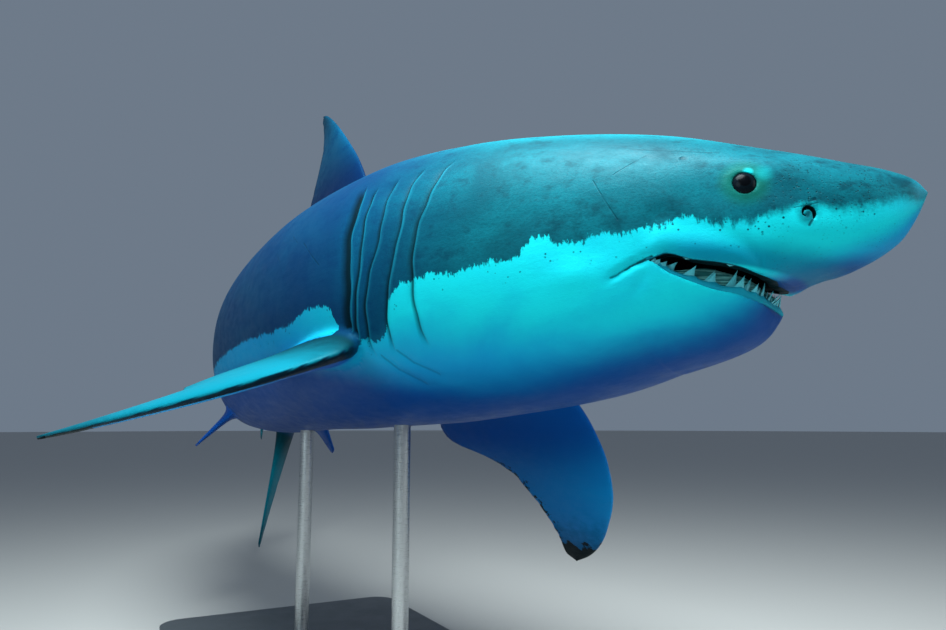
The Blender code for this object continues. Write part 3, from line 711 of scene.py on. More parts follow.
def buildPelvic(side):
    out = 1 if side == "left" else -1
    droop = math.radians(pelvic["droop"])
    y, z = bodySection(np.array(pelvic["at"] + 0.02), math.radians(pelvic["angle"]))
    reach, start, tipAt = pelvic["reach"], pelvic["at"], pelvic["tipAt"]

    def edges(b):
        t = np.clip(b / reach, 0, 1)
        front = start + (tipAt - pelvic["tipChord"] - start) * t - pelvic["flare"] * rootFade(b, 0.004)
        rearRoot = start + pelvic["base"]
        rear = rearRoot + (tipAt - rearRoot) * t ** 0.7
        rear = rear + pelvic["trail"] * bell(t, 0.12, 0.16) + ragged(b, 5.0, 0.0006)
        return tipEdges(front, rear, 0.006 * smoothStep(0.92, 1.0, t) ** 2, 0.3, 0.001)

    def thickness(b):
        t = np.clip(b / reach, 0, 1)
        return pelvic["thick"] * (1 - 0.75 * t) + pelvic["flare"] * rootFade(b, 0.004)

    def place(u, b, h):
        across = out * (float(y) + math.cos(droop) * b + math.sin(droop) * h)
        return bendPoints(u, across, float(z) - math.sin(droop) * b + math.cos(droop) * h)

    return finMesh(spanSteps(reach, 16, -0.016), edges, thickness, place)


caudal = {
    "start": 0.862, "fork": 0.908, "stem": 0.0178, "notch": 0.007,
    "upper": (1.000, 0.1700), "lower": (0.934, 0.1680),      # station and height of the tips
    "rootThick": 0.030, "tipThick": 0.0040,
}


# both lobes as one crescent, thick where it leaves the tail stem
def buildCaudal():
    upperTip, upperHigh = caudal["upper"]
    lowerTip, lowerHigh = caudal["lower"]
    stem, start, fork = caudal["stem"], caudal["start"], caudal["fork"]

    def lobe(b):
        tipAt = np.where(b > 0, upperTip, lowerTip)
        high = np.where(b > 0, upperHigh, lowerHigh)
        return tipAt, high, np.abs(b)

    def edges(b):
        tipAt, high, size = lobe(b)
        t = np.clip((size - stem) / (high - stem), 0, 1)
        front = start + (tipAt - 0.006 - start) * (t - 0.10 * np.sin(math.pi * t ** 0.8))
        front = front - 0.022 * np.clip(1 - (size / (stem * 1.25)) ** 2, 0, 1)
        whole = np.clip(size / high, 0, 1)
        rear = fork + (tipAt - fork) * whole ** 1.7
        notch = np.where(b > 0, caudal["notch"], 0.0) * bell(whole, 0.86, 0.03)
        rear = np.maximum(rear, front + 0.006) - notch
        rear = rear + ragged(b, 0.4, 0.0008) * smoothStep(0.15, 0.4, whole)
        return tipEdges(front, rear, 0.004 * smoothStep(0.96, 1.0, whole) ** 2, 0.3, 0.0015)

    def thickness(b):
        tipAt, high, size = lobe(b)
        t = np.clip(size / high, 0, 1)
        return caudal["rootThick"] * np.exp(-t / 0.20) + caudal["tipThick"] * (1 - 0.5 * t)

    def place(u, b, h):
        return bendPoints(u, h, b)

    share = np.linspace(0, 1, 40) ** 1.05
    up = [upperHigh * (1 - (1 - s) ** 1.25) for s in share]
    down = [-lowerHigh * (1 - (1 - s) ** 1.25) for s in share[1:]]
    return finMesh(sorted(up + down), edges, thickness, place)


# the hollow between the lips and the open space ahead of the chin, as one tube across the mouth
def buildMouthCutter():
    front, corner, chin = mouth["upperLip"][0][0], mouth["corner"], mouth["chinAt"]
    lipFoot, low = mouth["sheetLow"]
    steps = 46

    def inside(u, y, start):
        across = smoothStep(0.0, 0.010, edgeWidth(u, lowerLipHeight(u)) - mouth["rim"] - np.abs(y))
        return across * smoothStep(0.0, 0.010, u - start - mouth["rim"])

    def place(s, t):
        y = (2 * s - 1) * mouth["halfAcross"]
        reach = corner + (mouth["throatEnd"] - corner) * smoothStep(0.0, 0.018, 0.040 - np.abs(y))
        wall = chin + mouth["chinCurve"] * np.minimum(np.abs(y), 0.04) ** 2
        i = np.rint(t * (2 * steps + 4)).astype(int)
        onTop = i < steps
        share = np.clip(np.where(onTop, i / steps, (2 * steps - i) / steps), 0, 1)
        fade = 1 - smoothStep(0.7, 1.0, share)
        uTop = front + (reach - front) * share
        uLow = wall + (reach - wall) * share
        roof = upperLipHeight(uTop) + mouth["roofRise"] * inside(uTop, y, front + 0.004) * fade
        floor = lowerLipHeight(uLow) - mouth["floorDrop"] * inside(uLow, y, wall) * fade
        u = np.where(onTop, uTop, uLow)
        z = np.where(onTop, roof, floor)
        ahead = ((wall - 0.0001, lipFoot), (wall + 0.0006, low), (front, low))
        for past, (uAhead, zAhead) in enumerate(ahead, 1):
            u = np.where(i - 2 * steps == past, uAhead, u)
            z = np.where(i - 2 * steps == past, zAhead, z)
        return bendPoints(u, y, z)

    return closeTube(gridMesh(110, 2 * steps + 4, place), 1e-6)


# place and axes (forward along the skin, out of the skin, up) of a spot on one side
def surfaceSpot(at, degrees, side):
    angle = math.radians(degrees)

    def spot(u, a):
        y, z = bodySection(np.array(u), a)
        return Vector(bendPoints(u, float(y) * side, float(z)))

    centre = spot(at, angle)
    along = (spot(at - 0.004, angle) - spot(at + 0.004, angle)).normalized()
    up = (spot(at, angle + 0.03) - spot(at, angle - 0.03)).normalized()
    out = along.cross(up).normalized()
    if out.dot(Vector(bendPoints(at, 0.2 * side, 0.0)) - centre) < 0:
        out = -out
    up = (up - along * up.dot(along)).normalized()
    return centre, Matrix((along, out, up)).transposed()


# a comma-shaped plug that leaves a nostril when it is cut from the skin
def nostrilMesh(side):
    line = np.array(nostril["line"])
    knots = np.linspace(0, 1, len(line))
    centre, axes = surfaceSpot(nostril["at"], nostril["angle"], side)
    curves = [smoothCurve(knots, line[:, i]) for i in range(3)]
    widest = line[:, 2].max()

    def place(s, t):
        angle = t * 2 * math.pi
        ahead, up, half = (curve(s) for curve in curves)
        forth, rise = (curve(s + 0.02) - curve(s - 0.02) for curve in curves[:2])
        way = np.arctan2(rise, forth)
        across = np.cos(angle) * half
        local = np.stack([ahead - np.sin(way) * across, np.sin(angle) * nostril["depth"] * half / widest,
                          up + np.cos(way) * across], -1)
        return np.array(centre) + local @ np.array(axes).T

    return closeTube(gridMesh(24, 12, place), 1e-6)


# an eye's ball, or its socket with some slack
def ballMesh(side, slack, segments):
    bm = bmesh.new()
    bmesh.ops.create_uvsphere(bm, u_segments=segments, v_segments=segments // 2, radius=1.0)
    bmesh.ops.rotate(bm, verts=bm.verts, matrix=Matrix.Rotation(math.radians(90), 3, "X"))
    bmesh.ops.scale(bm, verts=bm.verts, vec=[radius + slack for radius in eyes["radii"]])
    centre, axes = surfaceSpot(eyes["at"], eyes["angle"], side)
    place = Matrix.Translation(centre - axes.col[1] * eyes["sink"]) @ axes.to_4x4()
    bmesh.ops.transform(bm, matrix=place, verts=bm.verts)
    bmesh.ops.recalc_face_normals(bm, faces=bm.faces)
    return bm


# the given points and those within some steps of them
def growRegion(verts, steps):
    region = set(verts)
    edge = set(verts)
    for _ in range(steps):
        ring = {e.other_vert(v) for v in edge for e in v.link_edges} - region
        region |= ring
        edge = ring
    return region


# points where the body's surface meets another kind
def seamVerts(bm, kind):
    found = set()
    for edge in bm.edges:
        if {surfaces["body"], surfaces[kind]} <= {f.material_index for f in edge.link_faces}:
            found.update(edge.verts)
    return found


def smoothRegion(bm, verts, passes):
    verts = list(verts)
    for _ in range(passes):
        bmesh.ops.smooth_vert(bm, verts=verts, factor=0.5, use_axis_x=True, use_axis_y=True, use_axis_z=True)


def buildSkin():
    print("skin: body tube")
    skin = asSurface("sharkSkin", buildBodyTube(), "body")
    print("skin: fins")
    fins = bmesh.new()
    for side in ("right", "left"):
        joinInto(fins, buildPectoral(side))
        joinInto(fins, buildPelvic(side))
    for name in uprightFins:
        joinInto(fins, buildUprightFin(name))
    joinInto(fins, buildCaudal())
    combine(skin, asSurface("fins", fins, "fin"), "UNION")
    print("skin: mouth and nostrils", len(skin.data.polygons))
    hollow = buildMouthCutter()
    for side in (-1, 1):
        joinInto(hollow, nostrilMesh(side))
        joinInto(hollow, ballMesh(side, eyes["slack"], eyes["socketSegments"]))
    combine(skin, asSurface("hollow", hollow, "hollow"), "DIFFERENCE")
    print("skin: smoothing", len(skin.data.polygons))
    bm = bmesh.new()
    bm.from_mesh(skin.data)
    bmesh.ops.remove_doubles(bm, verts=bm.verts, dist=0.0002)
    for kind, near, far in body["seamPasses"]:
        seam = seamVerts(bm, kind)
        smoothRegion(bm, growRegion(seam, 1), near)
        smoothRegion(bm, growRegion(seam, 2), far)
    bmesh.ops.dissolve_degenerate(bm, edges=bm.edges, dist=0.00005)
    bmesh.ops.triangulate(bm, faces=[f for f in bm.faces if len(f.verts) > 4])
    for face in bm.faces:
        face.smooth = True
    bm.to_mesh(skin.data)
    bm.free()
    return skin


# station and angle of the line between dark back and pale belly
borderLine = smoothCurve(*zip(
    (0.000, 0), (0.004, -4), (0.014, -8), (0.026, -10), (0.038, -8), (0.044, -6), (0.052, -10),
    (0.058, -12), (0.066, -9), (0.075, -7), (0.087, -5), (0.096, -7), (0.106, -8), (0.118, -8),
    (0.134, -8), (0.146, -6), (0.155, -12), (0.212, -12), (0.222, -16), (0.234, -31), (0.258, -31),
    (0.270, -16), (0.290, -14), (0.320, -18), (0.406, -17), (0.520, -18), (0.620, -22), (0.720, -30),
    (0.800, -30), (0.860, -60), (0.880, -90)))


# angle round the section of points on the body, -90 below to 90 above
def surfaceDegrees(u, y, z):
    u = np.clip(u, 0.001, 0.87)
    tall = np.where(z > 0, bodyAbove(u), chinDepth(u))
    s = (np.abs(z) / tall) ** (1 / body["boxiness"])
    c = (np.abs(y) / bodyWidth(u)) ** (1 / body["boxiness"])
    return np.sign(z) * np.degrees(np.arctan2(s, c)), np.hypot(s, c)


def addAttribute(mesh, name, values):
    kind, field = ("FLOAT_VECTOR", "vector") if values.ndim == 2 else ("FLOAT", "value")
    layer = mesh.attributes.new(name, kind, "POINT")
    layer.data.foreach_set(field, values.astype(np.float32).ravel())


# which vertices touch a face of that kind
def touchedBy(mesh, kind):
    touched = np.zeros(len(mesh.vertices), bool)
    for face in mesh.polygons:
        if face.material_index == surfaces[kind]:
            touched[list(face.vertices)] = True
    return touched


# span share, chord share, height over the fin's plane, and whether a point is on that fin
def pectoralMap(world, side):
    root, spanWay, faceWay, origin, axes, tipBack, tipOut = pectoralFrame(side)
    local = ((world - girdlePlace) @ girdleTurn / bodyLength - origin) @ axes.T - root
    a, b, h = -local[:, 0], local @ spanWay, local @ faceWay
    front, rear = pectoralEdges(np.clip(b, 0, tipOut), tipBack, tipOut)
    chord = (a - front) / (rear - front)
    on = (np.abs(h) < 0.03) & (b > -0.004) & (b < tipOut + 0.01) & (chord > -0.4) & (chord < 1.4)
    return b / tipOut, chord, h, on


# writes what the skin's material reads: straight place, height over the border line, place on a fin
# (span share, chord share, underside) and marks (gill slit, flap edge, depth in a hollow)
def paintAttributes(mesh):
    world = vertexArray(mesh)
    u, y, z = unbendPoints(world)
    onFin, inHollow = touchedBy(mesh, "fin"), touchedBy(mesh, "hollow")
    degrees, radial = surfaceDegrees(u, y, z)
    radius = 0.5 * (bodyWidth(u) + bodyAbove(u)) * bodyLength
    border = np.radians(degrees - borderLine(u)) * radius
    finShare = np.zeros_like(u)
    chordShare = np.full_like(u, 0.5)
    under = np.zeros_like(u)
    for side in ("right", "left"):
        t, chord, h, on = pectoralMap(world, side)
        on &= onFin & ((y > 0) == (side == "left"))
        finShare[on], chordShare[on] = t[on], chord[on]
        under[on & (h < 0)] = 1
        blend = smoothStep(0.0, 0.12, t)
        wrapped = (h > 0) | (chord < 0.045) if side == "right" else (h > 0) & (chord > 0.03)
        border[on] = (border * (1 - blend) + np.where(wrapped, 0.08, -0.08) * blend)[on]
    for name, (start, base, reach, tipAt, thick, up, steps, trail) in uprightFins.items():
        root = bodyAbove(start + base / 2) if up > 0 else bodyBelow(start + base / 2)
        b = up * z - root
        on = onFin & (b > 0.001) & (np.abs(y) < 0.02) & (u > start - 0.02) & (u < tipAt + 0.06)
        front, rear = uprightEdges(name, np.clip(b, 0, reach))
        finShare[on] = (b / reach)[on]
        chordShare[on] = ((u - front) / (rear - front))[on]
        border[on] = 0.10 if up > 0 else 0.01
    onTail = onFin & (u > 0.855)
    finShare[onTail] = np.clip((np.abs(z) - caudal["stem"]) / 0.15, 0, 1)[onTail]
    border[onTail] = np.where(z > -0.02, 0.10, 0.03)[onTail]
    onPelvic = onFin & (u > 0.50) & (u < 0.65) & (z < -0.03)
    finShare[onPelvic] = 0.2
    slit, flap = np.zeros_like(u), np.zeros_like(u)
    start, full, gone = gills["line"]
    for i, at in enumerate(slitStations(degrees)):
        gap = u - at
        window = slitWindow(degrees, i) * ~onFin
        reach = gills["lastReach"] if i == 4 else 1.0
        slit = np.maximum(slit, window * (gap > start) * (1 - smoothStep(full, gone, gap / reach)))
        flap = np.maximum(flap, window * bell(gap, *gills["edge"]))
    plug = np.clip(1 - radial, 0, 1) * bodyWidth(np.clip(u, 0, 0.87))
    wall = u - mouth["chinAt"] - mouth["chinCurve"] * y ** 2
    middle = (upperLipHeight(np.clip(u, 0.054, 0.128)) + lowerLipHeight(np.clip(u, 0.0588, 0.1275))) / 2
    sideWall = edgeWidth(np.clip(u, 0.03, 0.14), np.minimum(z, -0.001)) - np.abs(y)
    # the roof counts as deeper, so that painted shade under the upper jaw starts sooner
    cave = np.clip(np.minimum(wall, sideWall), 0, 0.05) * np.where(z > middle, 6.0, 1.0)
    inMouth = (z < -0.012) & (u > 0.05) & (u < 0.135)
    inside = np.where(inHollow, np.where(inMouth, cave, plug), 0) * bodyLength
    addAttribute(mesh, "straight", np.stack([u, y, z], 1) * bodyLength)
    addAttribute(mesh, "border", border)
    addAttribute(mesh, "finMap", np.stack([finShare, chordShare, under], 1))
    addAttribute(mesh, "marks", np.stack([slit, flap, inside], 1))


# the helpers below add nodes to the tree of the newest material
canvas = {}


def newMaterial(name):
    material = bpy.data.materials.new(name)
    material.use_nodes = True
    canvas["tree"] = material.node_tree
    canvas["tree"].nodes.clear()
    return material


def addNode(kind, sockets=None, **settings):
    node = canvas["tree"].nodes.new("ShaderNode" + kind)
    for key, value in settings.items():
        setattr(node, key, value)
    for key, value in (sockets or {}).items():
        if isinstance(value, bpy.types.NodeSocket):
            canvas["tree"].links.new(value, node.inputs[key])
        else:
            node.inputs[key].default_value = value
    return node


def calc(operation, *values, clamp=False):
    return addNode("Math", dict(enumerate(values)), operation=operation, use_clamp=clamp).outputs[0]


def times(*values):
    return functools.reduce(lambda a, b: calc("MULTIPLY", a, b), values)


def strongest(*values):
    return functools.reduce(lambda a, b: calc("MAXIMUM", a, b), values)


# a value moved up and down by a pattern
def nudge(value, pattern, amount):
    return calc("MULTIPLY_ADD", calc("SUBTRACT", pattern, 0.5), amount, value)


# a smooth step of a value from low to high
def span(value, low, high, toLow=0.0, toHigh=1.0):
    sockets = {"Value": value, "From Min": low, "From Max": high, "To Min": toLow, "To Max": toHigh}
    return addNode("MapRange", sockets, interpolation_type="SMOOTHSTEP").outputs[0]


# a colour may be one of the skin's by name, red, green and blue, or a socket
def asColour(value):
    value = skinColours[value] if isinstance(value, str) else value
    return (*value, 1.0) if isinstance(value, tuple) else value


def mixColour(factor, first, second):
    return addNode("Mix", {0: factor, 6: asColour(first), 7: asColour(second)}, data_type="RGBA").outputs[2]


def attribute(name, output="Vector"):
    return addNode("Attribute", attribute_name=name).outputs[output]


def objectPlace():
    return addNode("TexCoord").outputs["Object"]


def split(vector):
    return addNode("SeparateXYZ", {0: vector}).outputs


def vectorLength(vector):
    return addNode("VectorMath", {0: vector}, operation="LENGTH").outputs["Value"]


def distance(first, second):
    return addNode("VectorMath", {0: first, 1: second}, operation="DISTANCE").outputs["Value"]


def stretched(vector, scale):
    return addNode("Mapping", {"Vector": vector, "Scale": scale}).outputs[0]


def noise(vector, scale, detail=3.0, roughness=0.55, warp=0.0):
    sockets = {"Vector": vector, "Scale": scale, "Detail": detail, "Roughness": roughness,
               "Distortion": warp}
    return addNode("TexNoise", sockets).outputs["Fac"]


# distance from the nearest of many scattered points
def dots(vector, scale):
    return addNode("TexVoronoi", {"Vector": vector, "Scale": scale}).outputs["Distance"]


# closes a material; relief is a height in metres and a strength
def finishMaterial(material, base, roughness, relief=None, gloss=None, tone=(1.0, 1.0, 1.0), metal=0.0):
    sockets = {"Base Color": asColour(base), "Roughness": roughness, "Specular Tint": asColour(tone),
               "Metallic": metal}
    if gloss is not None:
        sockets["Specular IOR Level"] = gloss
    if relief:
        bump = addNode("Bump", {"Height": relief[0], "Distance": 1.0, "Strength": relief[1]})
        sockets["Normal"] = bump.outputs[0]
    addNode("OutputMaterial", {"Surface": addNode("BsdfPrincipled", sockets).outputs[0]})
    return material


skinColours = {
    "back": (0.002, 0.070, 0.098),
    "backLight": (0.003, 0.135, 0.175),
    # a painted highlight along the top of the back
    "backTopHighlight": (0.006, 0.270, 0.330),
    "backDark": (0.001, 0.024, 0.040),
    # painted shade that darkens the back towards the rear
    "backRearShade": (0.001, 0.024, 0.105),
    "belly": (0.006, 0.600, 0.660),
    # random mottle of the belly, and painted shade where it turns under and to the rear
    "bellyShade": (0.003, 0.210, 0.480),
    # painted shade under the belly
    "bellyDeepShade": (0.000, 0.025, 0.190),
    # painted shade over the upper lip
    "lipShade": (0.001, 0.140, 0.260),
    # painted shade at the root and a painted highlight towards the tip of the paired fins' upper faces
    "finRootShade": (0.001, 0.026, 0.034),
    "finTopHighlight": (0.002, 0.190, 0.260),
    # the fins' pale side, darker and bluer than the belly as painted shade
    "finPaleShade": (0.003, 0.300, 0.780),
    # painted shade at the fins' roots, on the pale side and on the dark side
    "finShade": (0.001, 0.030, 0.260),
    "finBackShade": (0.001, 0.007, 0.055),
    "eyeRing": (0.006, 0.125, 0.070),
    # black is pigment for pores and fin tips, and painted shade in slits, hollows and under the pectorals'
    # front edges
    "black": (0.001, 0.004, 0.006),
    "gum": (0.004, 0.170, 0.240),
    "noseTip": (0.010, 0.270, 0.370),
}
sheen = (0.10, 0.85, 1.0)        # tint of the reflections on skin and gums

# scratches of the right side: from and to (station, angle), half width and strength
scratches = (
    ((0.076, 38), (0.108, 37), 0.0011, 0.6),
    ((0.100, 32), (0.112, 18), 0.0012, 0.5),
    ((0.120, 15), (0.110, -3), 0.0013, 0.5),
    ((0.0375, -4), (0.0465, -7), 0.0010, 0.5),
    ((0.085, 30), (0.0865, 30), 0.0040, 0.9),
    ((0.0395, -1.5), (0.0413, -2.5), 0.0028, 0.9),
    ((0.300, 12), (0.278, 0), 0.0016, 0.5),
    ((0.310, 14), (0.322, 20), 0.0016, 0.4),
    ((0.330, 8), (0.340, 14), 0.0014, 0.4),
)

# creases that show as a fine line of painted shade: from and to (station, angle), half width and strength
foldShadeLines = (
    ((0.0985, -18.1), (0.1045, -19.2), 0.0030, 0.95),
    ((0.1045, -19.2), (0.1095, -21.0), 0.0024, 0.85),
    ((0.1095, -21.0), (0.1150, -23.2), 0.0018, 0.6),
    ((0.0419, -11.5), (0.0424, -14.0), 0.0034, 0.70),
    ((0.0408, -18.0), (0.0420, -21.5), 0.0020, 0.75),
    ((0.228, -37), (0.222, -43), 0.0030, 0.35),
    ((0.222, -43), (0.211, -50), 0.0028, 0.30),
    ((0.240, -38), (0.234, -45), 0.0030, 0.35),
    ((0.234, -45), (0.223, -54), 0.0028, 0.30),
)


# how far back and how high a point of the side lies, in metres
def sidePoint(u, degrees):
    height = bodySection(np.array(u), math.radians(degrees))[1]
    return u * bodyLength, float(height) * bodyLength


# a soft line on the side of the fish
def lineMask(aft, up, start, end, width, strength):
    (ax, az), (bx, bz) = sidePoint(*start), sidePoint(*end)
    dx, dz = bx - ax, bz - az
    size = dx * dx + dz * dz
    px, pz = calc("SUBTRACT", aft, ax), calc("SUBTRACT", up, az)
    share = calc("ADD", calc("ADD", times(px, dx / size), times(pz, dz / size)), 0.0, clamp=True)
    ex, ez = calc("MULTIPLY_ADD", share, -dx, px), calc("MULTIPLY_ADD", share, -dz, pz)
    gap = calc("SQRT", calc("ADD", times(ex, ex), times(ez, ez)))
    return span(gap, width * 0.4, width * 1.6, strength, 0.0)


# a spot of the straight fish on the right and on the left side, in metres
def bothSides(spot):
    y, z = bodySection(np.array(spot["at"]), math.radians(spot["angle"]))
    return [Vector((spot["at"], side * float(y), float(z))) * bodyLength for side in (-1, 1)]


# lays a colour over the base where all the masks allow
def tint(base, shade, *masks):
    return mixColour(times(*masks), base, shade)


def makeSkinMaterial():
    material = newMaterial("sharkSkin")
    straight = attribute("straight")
    border = attribute("border", "Fac")
    aft, left, up = split(straight)
    out, chord, under = split(attribute("finMap"))
    slit, flap, inside = split(attribute("marks"))

    # the ragged line between back and belly, and freckles below it
    lobes = noise(straight, 17.0, 3.0, 0.6)
    fingers = noise(stretched(straight, (130, 40, 30)), 1.0, 3.0, 0.7)
    edge = nudge(border, noise(straight, 5.0, 2.0), 0.012)
    edge = nudge(edge, lobes, 0.030)
    edge = nudge(edge, fingers, span(aft, 0.18, 0.42, 0.010, 0.036))
    edge = nudge(edge, noise(straight, 190.0, 2.0), 0.012)
    soft = span(aft, 0.14, 0.42, 0.014, 0.0025)
    dark = span(edge, times(soft, -1.0), soft)
    freckle = span(dots(straight, 95.0), 0.16, 0.26, 1.0, 0.0)
    nearBorder = times(span(border, -0.050, -0.020), span(noise(straight, 33.0, 1.0), 0.55, 0.62))
    dark = strongest(dark, times(freckle, nearBorder))

    # the back: paler on top as a painted highlight, darker to the rear as painted shade; low is -1 on top
    # and 1 underneath
    cloud = noise(stretched(straight, (1.0, 1.5, 1.5)), 4.5, 5.0, 0.6, 0.4)
    blotch = noise(stretched(straight, (1.0, 1.4, 1.4)), 22.0, 4.0, 0.65)
    fine = noise(stretched(straight, (1.0, 2.2, 2.2)), 140.0, 3.0, 0.7)
    fromAxis = vectorLength(addNode("CombineXYZ", {"Y": left, "Z": up}).outputs[0])
    low = nudge(calc("DIVIDE", times(up, -1.0), fromAxis), cloud, 0.10)
    back = mixColour(span(cloud, 0.35, 0.70), "back", "backLight")
    back = tint(back, "backTopHighlight", span(low, -0.66, -0.90, 0.0, 0.8), span(aft, 0.20, 0.50))
    back = tint(back, "backDark", span(blotch, 0.50, 0.72, 0.0, 0.55))
    back = tint(back, "backDark", span(fine, 0.42, 0.70, 0.0, 0.35))
    back = tint(back, "backRearShade", span(aft, 0.70, 1.25, 0.0, 0.80))
    # the belly: painted shade where it turns under, to the rear and over the upper lip
    belly = mixColour(span(cloud, 0.40, 0.75, 0.0, 0.3), "belly", "bellyShade")
    belly = tint(belly, "bellyShade", span(fine, 0.50, 0.80, 0.0, 0.15))
    turned = calc("ADD", low, span(aft, 0.40, 1.00, -0.12, 0.08))
    belly = tint(belly, "bellyShade", span(turned, 0.48, 0.86, 0.0, 0.9))
    belly = tint(belly, "bellyShade", span(aft, 0.80, 1.70, 0.0, 0.9))
    low = calc("ADD", low, span(aft, 0.80, 1.60, 0.0, 0.30))
    low = calc("ADD", low, span(aft, 0.18, 0.03, 0.0, -0.25))
    belly = tint(belly, "bellyDeepShade", span(low, 0.74, 0.98, 0.0, 0.92))
    overLip = calc("SUBTRACT", up, calc("MULTIPLY_ADD", aft, 0.19, -0.169))
    belly = tint(belly, "lipShade", span(overLip, 0.060, 0.010, 0.0, 0.8), span(overLip, -0.012, -0.004),
                 span(aft, 0.50, 0.36), span(aft, 0.10, 0.20))
    base = mixColour(dark, belly, back)

    # pores and dark streaks of the snout
    onSnout = times(span(aft, 0.30, 0.24), span(aft, 0.03, 0.09),
                    span(noise(straight, 14.0, 2.0), 0.42, 0.58))
    pore = span(dots(stretched(straight, (0.75, 1.0, 1.25)), 165.0), 0.13, 0.27, 1.0, 0.0)
    pore = times(pore, times(onSnout, span(dark, 0.0, 1.0, 0.35, 1.0)))
    base = tint(base, "black", pore, 0.75)
    streak = noise(stretched(straight, (9.0, 24.0, 30.0)), 1.0, 4.0, 0.6, 0.6)
    streak = times(span(streak, 0.50, 0.66), span(aft, 0.34, 0.10), dark)
    base = tint(base, "backDark", streak, 0.6)
    base = tint(base, "noseTip", span(aft, 0.030, 0.008), 0.7)

    # round the eyes and nostrils
    rings, browHighlights = [], []
    for middle in bothSides(eyes):
        rings.append(span(distance(straight, middle), *eyes["ring"], 0.0))
        browHighlights.append(strongest(*[span(distance(straight, middle + Vector(shift)), *reach, 0.0)
                                 for shift, reach in eyes["brow"]]))
    base = tint(base, "eyeRing", strongest(*rings))
    for middle in bothSides(nostril):
        gap = nudge(distance(straight, middle), blotch, 0.020)
        base = tint(base, "back", span(gap, *nostril["halo"], 0.0))
    # painted highlights on the brows
    base = tint(base, "belly", strongest(*browHighlights))

    # fins: pale below, darker than the belly as painted shade, with painted shade at the root; the paired
    # ones' upper faces with painted shade at the root and a painted highlight towards the tip, and their
    # dark front edges painted black underneath as shade; dark tips; black patches under the pectorals' ends
    # and along their rear edges
    base = tint(base, "finPaleShade", span(out, 0.02, 0.08, 0.0, 0.7), span(dark, 0.0, 1.0, 1.0, 0.0))
    base = tint(base, mixColour(dark, "finShade", "finBackShade"),
                span(out, 0.02, 0.08), span(out, 0.25, 0.70, 0.85, 0.0))
    paired = times(dark, span(up, -0.02, -0.05))
    towardsTip = span(calc("MULTIPLY_ADD", blotch, 0.10, out), 0.10, 0.46)
    base = tint(base, mixColour(towardsTip, "finRootShade", "finTopHighlight"),
                paired, span(out, 0.01, 0.06, 0.0, 0.92), calc("SUBTRACT", 1.0, under))
    # dark skin under the paired fins' front edges, painted black as shade
    base = tint(base, "black", paired, under, span(out, 0.02, 0.08, 0.0, 0.85))
    base = tint(base, "backDark", span(nudge(out, blotch, 0.25), 0.70, 0.95, 0.0, 0.55))
    tips = span(nudge(out, lobes, 0.20), 0.885, 0.900)
    spots = span(nudge(chord, noise(straight, 55.0, 3.0), 0.9), 0.985, 1.005)
    base = tint(base, "black", strongest(tips, times(spots, span(out, 0.35, 0.50))), under)

    # gill slits in painted shade, flap edges in a painted highlight, scratches, folds in painted shade, and
    # the hollows: gum colour, then painted shade deeper in
    base = tint(base, "noseTip", flap, 0.40)
    base = tint(base, "black", slit, 0.93)
    scratch, foldShade = (strongest(*[lineMask(aft, up, *line) for line in lines])
                     for lines in (scratches, foldShadeLines))
    scratch = times(scratch, span(left, 0.0, -0.02), span(noise(straight, 40.0, 2.0), 0.35, 0.60, 0.35, 1.0))
    base = tint(base, "backDark", scratch)
    base = tint(base, "backDark", foldShade)
    base = tint(base, "gum", span(inside, 0.003, 0.010))
    # painted shade deep in the mouth, and in the eye sockets and nostrils
    socket = times(span(inside, 0.0012, 0.0035), span(aft, 0.235, 0.225))
    base = tint(base, "black", strongest(span(inside, 0.026, 0.050), socket))

    # denticles, faint wrinkles, pits
    height = times(fine, 0.0005)
    wrinkle = noise(stretched(straight, (6.0, 26.0, 26.0)), 1.0, 4.0, 0.6)
    for pattern, rise in ((wrinkle, 0.0016), (noise(straight, 700.0, 2.0), 0.00035), (pore, -0.0012),
                          (scratch, -0.0012), (foldShade, -0.0020)):
        height = calc("MULTIPLY_ADD", pattern, rise, height)
    gloss = strongest(span(blotch, 0.3, 0.7, 0.42, 0.54), span(inside, 0.002, 0.008, 0.0, 0.85))
    return finishMaterial(material, base, gloss, (height, 0.7), 0.14, sheen)


def dress(obj, material):
    obj.data.materials.clear()
    obj.data.materials.append(material)
    for face in obj.data.polygons:
        face.material_index = 0


# a piece's material, body, the CAD nodes it stands for, and slot, which is not used
def finishPiece(piece, material, slot, *nodes):
    dress(piece, material)
    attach(piece, "root")
    if nodes:
        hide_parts(*nodes)


def placeSkin():
    skin = buildSkin()
    paintAttributes(skin.data)
    nodes = [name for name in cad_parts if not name.startswith(("stand_", "eye_"))]
    finishPiece(skin, makeSkinMaterial(), "skin", *nodes)


def makeEyeMaterial():
    material = newMaterial("eyeGlass")
    place = attribute("eyeMap")
    reach = vectorLength(place)
    rays = noise(stretched(place, (9, 9, 9)), 1.0, 3.0)
    iris = mixColour(rays, (0.0015, 0.003, 0.005), (0.004, 0.009, 0.013))
    base = mixColour(span(reach, 0.42, 0.55), (0.0015, 0.002, 0.003), iris)
    base = mixColour(span(reach, 0.88, 1.0), base, (0.006, 0.008, 0.008))
    return finishMaterial(material, base, 0.22, gloss=0.03)


def buildEyes():
    material = makeEyeMaterial()
    for name, side in (("right", -1), ("left", 1)):
        eye = asObject("eye" + name.capitalize(), ballMesh(side, 0.0, eyes["segments"]))
        centre, axes = surfaceSpot(eyes["at"], eyes["angle"], side)
        local = (vertexArray(eye.data) - np.array(centre)) @ np.array(axes)
        flat = np.stack([local[:, 0] / eyes["radii"][0], local[:, 2] / eyes["radii"][2], 0 * local[:, 0]], 1)
        addAttribute(eye.data, "eyeMap", flat)
        finishPiece(eye, material, "eye", "eye_" + name)


